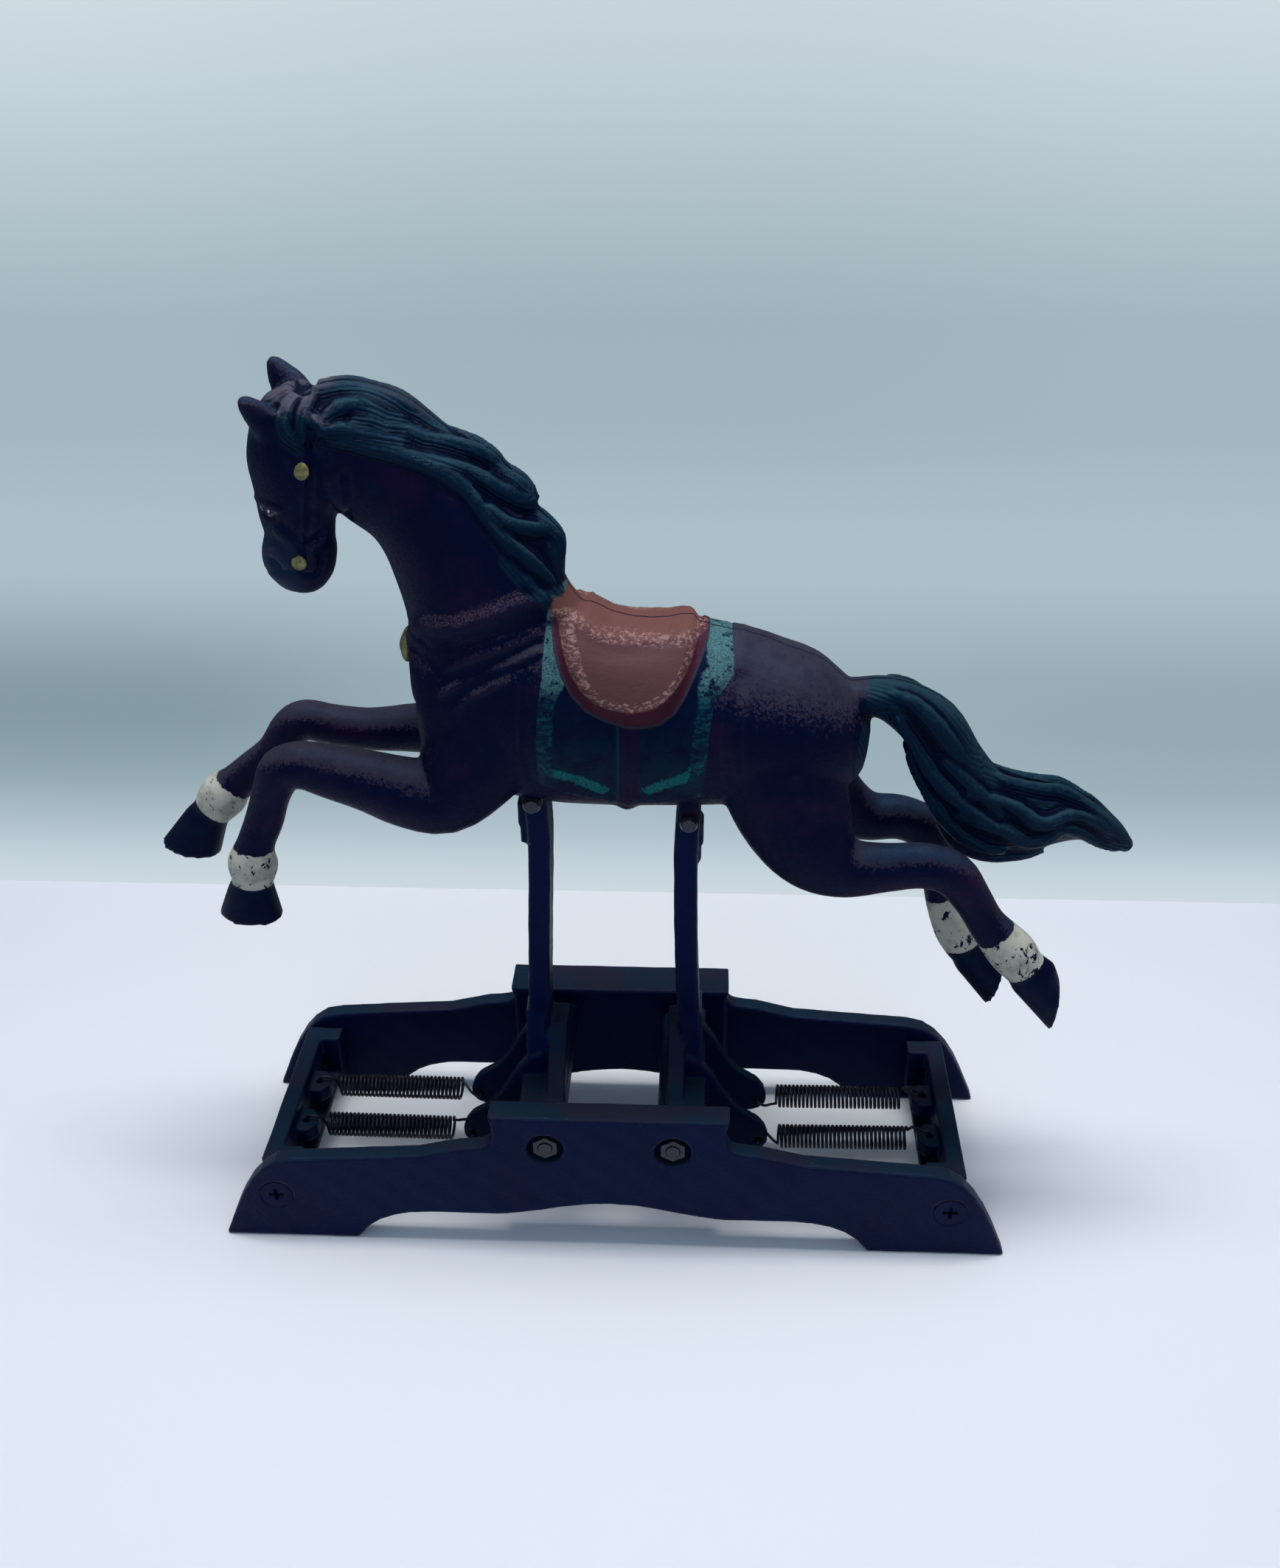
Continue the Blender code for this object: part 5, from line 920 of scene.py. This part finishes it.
def coatPaint():
    material, tree, shader = newMaterial("horsePaint")
    broad = noiseFac(tree, 22, 4, 0.6)
    blotch = noiseFac(tree, 5, 4, 0.6)
    grain = noiseFac(tree, 1.0, 3, 0.65)
    fine = noiseFac(tree, 0.42, 2, 0.6)
    ragged = times(minus(noiseFac(tree, 1.8, 4, 0.7), 0.5), 3.2)
    wear = field(tree, "edgeWear")
    atX, atY, atZ = (times(socket, 1 / mm) for socket in axes(tree, "Object"))
    gritty = plus(axes(tree, "Normal")["Z"], times(minus(grain, 0.5), 0.9))

    def edgeOf(name, rough):
        return plus(field(tree, name), times(ragged, rough))

    def cover(base, colour, name, rough, half=0.12):
        mask = band(edgeOf(name, rough), -half, half)
        return blendColour(mask, base, colour), mask

    # bay coat: maroon blotches on the trunk; upward faces painted lighter with dust and painted sheen, greyer
    # on the trunk and bluer on head, neck and hind legs
    behindHead = calc("MAXIMUM", band(atX, midX - 62, midX - 48), band(atZ, 195, 185))
    body = blendColour(times(band(broad, 0.48, 0.68), behindHead), coat["shadow"], coat["maroon"])
    hind = times(band(atX, midX + 66, midX + 78), band(atZ, 166, 150))
    dust = blendColour(times(behindHead, minus(1.0, hind)), coat["sheen"], coat["dust"])
    # painted highlight: upward faces, in blots, take the dust-and-sheen colour
    body = blendColour(times(band(gritty, 0.40, 0.68), band(blotch, 0.25, 0.6, 0.6, 0.95)), body, dust)
    # painted sheen: bluish blots on the head and the front of the neck
    wash = times(minus(1.0, behindHead), band(blotch, 0.48, 0.7, 0.0, 0.5))
    body = blendColour(wash, body, coat["wash"])
    # painted sheen: the muzzle lighter and bluer
    muzzle = times(band(atX, midX - 75, midX - 84), band(atZ, 224, 214, 0.0, 0.5))
    body = blendColour(times(muzzle, band(atZ, 180, 195)), body, coat["muzzle"])
    streak = times(band(edgeOf("collarEdge", 0.8), -0.3, 0.5), band(fine, 0.42, 0.6))
    body = blendColour(streak, body, coat["rub"])
    # painted glints: specks of the rub colour where the faces turn from the sides to the top
    crest = times(band(gritty, 0.34, 0.48), band(gritty, 0.70, 0.52))
    body = blendColour(times(crest, band(fine, 0.45, 0.6, 0.1, 0.55)), body, coat["rub"])
    body = blendColour(times(band(wear, 0.06, 0.22), 0.16), body, coat["rub"])

    # blanket: green below, two brushed patches, a teal border that pales at the top
    green = times(band(atZ, 182, 156, 0.1, 0.9), band(blotch, 0.35, 0.62))
    blanket = blendColour(green, coat["blanketDark"], coat["blanket"])
    smear = times(band(edgeOf("brushed", 1.0), -0.2, 0.5), band(fine, 0.40, 0.56, 0.3, 1.0))
    blanket = blendColour(smear, blanket, coat["smear"])
    rimDepth = minus(edgeOf("blanketEdge", 0.9), band(atZ, 180, 188, 0.0, 2.6))
    rim = times(band(rimDepth, 4.6, 3.8), band(atZ, 155, 160))
    rim = times(rim, band(noiseFac(tree, 2.6, 4, 0.7), 0.36, 0.50))
    flecks = noiseFac(tree, 2.4, 3, 0.7, stretch=(0.7, 0.7, 1.8))
    border = blendColour(band(flecks, 0.46, 0.60), coat["borderDeep"], coat["border"])
    pale = times(band(plus(atZ, times(ragged, 2)), 180, 187), band(fine, 0.40, 0.56, 0.35, 1.0))
    border = blendColour(pale, border, coat["borderPale"])
    colour = cover(body, blendColour(rim, blanket, border), "blanketEdge", 0.25)[0]

    # girth strap with a thin teal line before it
    across = field(tree, "girthAcross")
    colour = blendColour(band(calc("ABSOLUTE", across), 2.7, 2.3), colour, coat["girth"])
    line = band(calc("ABSOLUTE", plus(across, 3.0)), 0.6, 0.2)
    colour = blendColour(times(line, 0.4), colour, coat["border"])

    # saddle: seat and flap painted as light and shade of one paint, lighter seat above and darker flap below
    # the crease, a dark side as painted shade, painted glints speckled on ridge and crease, thin rim
    face = band(edgeOf("crease", 0.15), 0.5, -0.3)
    # painted shade: the flap face below the crease is darker than the seat
    saddle = blendColour(face, coat["saddle"], coat["flap"])
    flap = edgeOf("flapEdge", 0.35)
    # painted shade: the dark side near the flap's outline
    saddle = blendColour(times(band(flap, 0.3, -0.2), face), saddle, coat["saddleEdge"])
    # painted glints: pale specks along the flap's ridge and along the crease
    ridgeWidth = plus(band(atX, midX - 8, midX + 2, 4.6, 2.2), times(ragged, 0.8))
    ridge = times(band(flap, 0.0, 0.5), calc("LESS_THAN", flap, ridgeWidth))
    lines = calc("MAXIMUM", times(ridge, face), band(calc("ABSOLUTE", edgeOf("crease", 0.5)), 1.5, 0.6))
    speckle = times(band(noiseFac(tree, 0.9, 3, 0.7, stretch=(0.7, 0.7, 1.4)), 0.47, 0.60), lines)
    saddle = blendColour(times(speckle, 0.75), saddle, coat["saddleRub"])
    thin = times(band(field(tree, "saddleEdge"), 1.0, 0.5), band(fine, 0.40, 0.5))
    saddle = blendColour(times(thin, times(face, 0.55)), saddle, coat["border"])
    colour, saddleMask = cover(colour, saddle, "saddleEdge", 0.06)

    # mane and tail: darker in the hollows, with a painted highlight on upward faces of the locks, greyer at
    # the poll
    ripple = calc("SINE", plus(times(field(tree, "strand"), 5.2), times(blotch, 5.0)))
    hair = blendColour(band(wear, -0.10, 0.03), coat["hairHollow"], coat["hair"])
    # painted highlight on upward faces of the locks, out of the hollows, greyer at the poll
    lit = times(band(plus(gritty, times(ripple, 0.12)), 0.1, 0.75), band(wear, -0.10, 0.12))
    poll = times(band(atX, midX - 62, midX - 68), band(gritty, 0.3, 0.6))
    hair = blendColour(lit, hair, blendColour(poll, coat["hairRub"], coat["poll"]))
    colour, hairMask = cover(colour, hair, "hairEdge", 0.5, half=0.5)

    # socks and hooves
    sock = blendColour(band(blotch, 0.45, 0.70, 0.0, 0.7), coat["sock"], coat["sockStain"])
    chipNoise = noiseFac(tree, 1.5, 3, 0.6, stretch=(1.0, 1.0, 0.55), distortion=0.6)
    chips = band(plus(chipNoise, times(noiseFac(tree, 7, 2), 0.45)), 0.86, 0.875)
    colour, sockMask = cover(colour, blendColour(chips, sock, coat["chip"]), "sockEdge", 0.8)
    hoof = blendColour(band(blotch, 0.45, 0.75, 0.0, 0.6), coat["hoof"], coat["hoofRub"])
    colour, hoofMask = cover(colour, hoof, "hoofEdge", 0.35)

    # pale eye lines, and the seam between the halves
    eyeRim = band(field(tree, "eyeLine"), 0.18, 0.42, 0.5, 0.0)
    colour = blendColour(eyeRim, colour, coat["sock"])
    seam = band(calc("ABSOLUTE", atY), 0.45, 0.2, 0.0, 0.9)
    colour = blendColour(seam, colour, coat["chip"])

    height = plus(times(grain, 0.65), times(fine, 0.35))
    height = times(height, band(calc("MAXIMUM", sockMask, hoofMask), 0.0, 1.0, 1.0, 0.35))
    height = plus(height, times(times(ripple, hairMask), 0.5))
    height = plus(height, times(times(chips, sockMask), -0.4))
    rough = plus(band(grain, 0.3, 0.7, 0.42, 0.60), times(saddleMask, 0.08))
    feed(shader, colour=colour, roughness=rough, normal=sandBump(height, 0.75, coat["bump"]), specular=0.15,
         tint=coat["tint"])
    return material


horsePaint = coatPaint()


def partHorse(name, side, node):
    bm = bmesh.new()
    bm.from_mesh(form.data)
    bmesh.ops.bisect_plane(bm, geom=bm.verts[:] + bm.edges[:] + bm.faces[:], clear_outer=True,
                           plane_co=(0, side * horse["seamGap"] * mm, 0), plane_no=(0, -side, 0))
    rim = [edge for edge in bm.edges if edge.is_boundary]
    for edge in rim:
        edge.smooth = False
    bmesh.ops.holes_fill(bm, edges=rim, sides=0)
    half = linkNew(name, meshFrom(name, bm))
    coatWith(half.data, horsePaint)
    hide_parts(node)
    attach(half, "horse")


partHorse("left_horse_casting", -1, "left_horse_half")
partHorse("right_horse_casting", 1, "right_horse_half")
bpy.data.objects.remove(form)
print("horse parted")


# small marks cast on the horse: gilt studs, breast boss and eyes

# each mark's place, radius, facing, height and finish; those of the right side are mirrored to the left
trim = {
    "sideMarks": {"stud_1": ((-74.1, 9.1, 239.1), 2.3, (-0.25, 0.95, 0.15), 0.966, "gilt"),
                  "stud_2": ((-78.4, 6.6, 213.7), 2.1, (-0.1, 1.0, -0.05), 0.882, "gilt"),
                  "eye": ((-83.7, 6.3, 227.5), 1.5, (-0.5, 0.85, 0.1), 1.2, "black"),
                  "eye_glint": ((-84.1, 7.1, 227.85), 0.45, (-0.2, 0.85, 0.5), 0.4, "white")},
    "middleMarks": {"breast_boss": ((-53.2, 0, 188), 5.0, (-1, 0, 0.1), 2.2, "gilt"),
                    "breast_boss_middle": ((-54.5, 0, 188.1), 2.75, (-1, 0, 0.1), 1.2, "black")},
    "gold": shade(138, 130, 84), "goldDeep": shade(84, 78, 46),
    "eyeBlack": shade(10, 10, 16), "eyeWhite": shade(226, 228, 224),
}


def giltPaint():
    material, tree, shader = newMaterial("giltPaint")
    tone = noiseFac(tree, 1.4, 4, 0.65)
    feed(shader, colour=blendColour(band(tone, 0.38, 0.6), trim["goldDeep"], trim["gold"]), metallic=0.35,
         roughness=0.42, normal=sandBump(tone, 0.5, 0.15))
    return material


def plainPaint(name, roughness):
    material, tree, shader = newMaterial(name)
    tone = noiseFac(tree, 0.8, 3)
    darker = tuple(c * 0.7 for c in trim[name][:3]) + (1.0,)
    feed(shader, colour=blendColour(band(tone, 0.4, 0.7), trim[name], darker), roughness=roughness,
         normal=sandBump(tone, 0.2, 0.05))
    return material


finishes = {"gilt": giltPaint(), "black": plainPaint("eyeBlack", 0.22), "white": plainPaint("eyeWhite", 0.4)}


def domed(name, centre, radius, facing, height, material):
    bm = bmesh.new()
    turn = Vector(facing).normalized().to_track_quat("Z", "Y").to_matrix().to_4x4()
    size = Matrix.Diagonal((radius * mm, radius * mm, height * mm, 1))
    bmesh.ops.create_uvsphere(bm, u_segments=40, v_segments=20, radius=1.0,
                              matrix=Matrix.Translation(placed(*centre)) @ turn @ size)
    piece = finishMesh(name, bm)
    coatWith(piece.data, material)
    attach(piece, "horse")


for side, word, marks in ((-1, "left_", "sideMarks"), (1, "right_", "sideMarks"), (1, "", "middleMarks")):
    for name, ((x, y, z), radius, (fx, fy, fz), height, finish) in trim[marks].items():
        domed(word + name, (x, y * side, z), radius, (fx, fy * side, fz), height, finishes[finish])
print("trim painted")


# floor, backdrop, lamps and camera, in metres

studio = {
    "floorHalf": (1.6, 1.4), "floor": shade(226, 233, 242), "bounce": 0.4,
    "sky": 0.50, "skyTone": shade(196, 214, 236),
    "wallHalf": (1.6, 0.8), "wallAt": 0.1535,
    "wallShadow": shade(60, 95, 108), "wallUnlit": shade(30, 34, 40),
    # the backdrop's tone at each height above the floor, its painted light and shade
    "wall": [(0.000, (205, 216, 225)), (0.012, (197, 211, 220)), (0.030, (176, 193, 203)),
             (0.052, (158, 179, 188)), (0.080, (156, 176, 185)), (0.103, (157, 177, 186)),
             (0.122, (164, 184, 193)), (0.140, (172, 190, 200)), (0.160, (173, 191, 201)),
             (0.180, (169, 187, 197)), (0.200, (163, 183, 192)), (0.235, (163, 183, 192)),
             (0.262, (174, 192, 200)), (0.285, (185, 201, 209)), (0.310, (197, 211, 220)),
             (0.334, (207, 218, 227))],
    # each lamp's place, aim, size, power and colour
    "lamps": {"overhead": ((0.0, 0.03, 0.95), (0, 0.03, 0.0), (0.75, 0.24), 7.4, (1.0, 0.95, 0.90)),
              "frontFill": ((0.1, -1.1, 0.5), (0, 0, 0.12), (0.9, 0.6), 1.3, (0.75, 0.87, 1.0))},
}


def floorPaint():
    material, tree, shader = newMaterial("palePaper")
    feed(shader, colour=studio["floor"], roughness=0.9, specular=0.1)
    dark = addNode(tree, "ShaderNodeBsdfDiffuse", {"Color": (studio["bounce"],) * 3 + (1.0,)})
    path = addNode(tree, "ShaderNodeLightPath").outputs
    seen = calc("MAXIMUM", path["Is Camera Ray"], path["Is Glossy Ray"])
    give(tree.nodes["Material Output"].inputs["Surface"], showMix(tree, seen, dark, shader).outputs[0])
    return material


def wallPaint():
    material, tree, shader = newMaterial("greyBackdrop")
    x, _, z = axes(tree, "Object")
    tones = studio["wall"]
    topHeight = tones[-1][0]
    ramp = addNode(tree, "ShaderNodeValToRGB", {0: times(z, 1 / topHeight)})
    stops = ramp.color_ramp.elements
    stops[0].color, stops[1].color = shade(*tones[0][1]), shade(*tones[-1][1])
    for height, tone in tones[1:-1]:
        stops.new(height / topHeight).color = shade(*tone)
    side = band(calc("ABSOLUTE", x), 0.03, 0.20)
    # painted shade: darker at both sides low down, most of all on the left, and a little in the middle higher
    # up
    low = times(side, band(calc("ABSOLUTE", minus(z, 0.085)), 0.06, 0.0))
    low = times(low, band(x, 0.05, -0.15, 0.10, 0.34))
    middle = times(minus(1.0, side), band(z, 0.14, 0.25, 0, 0.07))
    colour = blendColour(plus(low, middle), ramp.outputs[0], studio["wallShadow"])
    # the backdrop glows with this painted light where the camera sees it
    glow = addNode(tree, "ShaderNodeEmission", {"Color": colour, "Strength": 1.0})
    feed(shader, colour=blendColour(0.35, colour, studio["wallUnlit"]), roughness=0.9)
    shown = showMix(tree, addNode(tree, "ShaderNodeLightPath").outputs["Is Camera Ray"], shader, glow)
    # from behind it is clear, so that it doesn't hide the toy
    fromBehind = addNode(tree, "ShaderNodeNewGeometry").outputs["Backfacing"]
    shown = showMix(tree, fromBehind, shown, addNode(tree, "ShaderNodeBsdfTransparent"))
    give(tree.nodes["Material Output"].inputs["Surface"], shown.outputs[0])
    return material


def makeSheet(name, half, place, paint):
    bm = bmesh.new()
    place = place @ Matrix.Diagonal((*half, 1, 1))
    bmesh.ops.create_grid(bm, x_segments=1, y_segments=1, size=1.0, matrix=place)
    sheet = finishMesh(name, bm, normals=False)
    coatWith(sheet.data, paint)
    return sheet


floor = makeSheet("palePaper", studio["floorHalf"], Matrix(), floorPaint())
foot = Matrix.Translation((0, studio["wallAt"], studio["wallHalf"][1]))
wall = makeSheet("greyBackdrop", studio["wallHalf"], foot @ Matrix.Rotation(math.pi / 2, 4, "X"), wallPaint())

for name, (place, aim, size, power, colour) in studio["lamps"].items():
    data = bpy.data.lights.new(name, "AREA")
    data.shape = "RECTANGLE"
    data.size, data.size_y = size
    data.energy = power
    data.color = colour
    lamp = linkNew(name, data)
    lamp.location = place
    lamp.rotation_euler = (Vector(aim) - Vector(place)).to_track_quat("-Z", "Y").to_euler()
world = bpy.data.worlds.new("paleStudio")
bpy.context.scene.world = world
world.use_nodes = True
sky = world.node_tree.nodes["Background"].inputs
sky["Color"].default_value = studio["skyTone"]
sky["Strength"].default_value = studio["sky"]

# the photograph's view, in mm
lens = {"focal": 2037.618, "frame": 2127, "sensor": 36, "place": (27.19, -363.57, 362.85),
        "right": (0.99893, 0.04533, -0.00934), "down": (0.01528, -0.51359, -0.85790),
        "forward": (-0.04369, 0.85684, -0.51373)}
data = bpy.data.cameras.new("photoView")
data.sensor_width = lens["sensor"]
data.lens = lens["sensor"] * lens["focal"] / lens["frame"]
camera = linkNew("photoView", data)
turn = Matrix((Vector(lens["right"]), -Vector(lens["down"]), -Vector(lens["forward"]))).transposed().to_4x4()
turn.translation = placed(*lens["place"])
camera.matrix_world = turn
bpy.context.scene.camera = camera
bpy.context.scene.view_settings.view_transform = "Standard"

print("all pieces made")
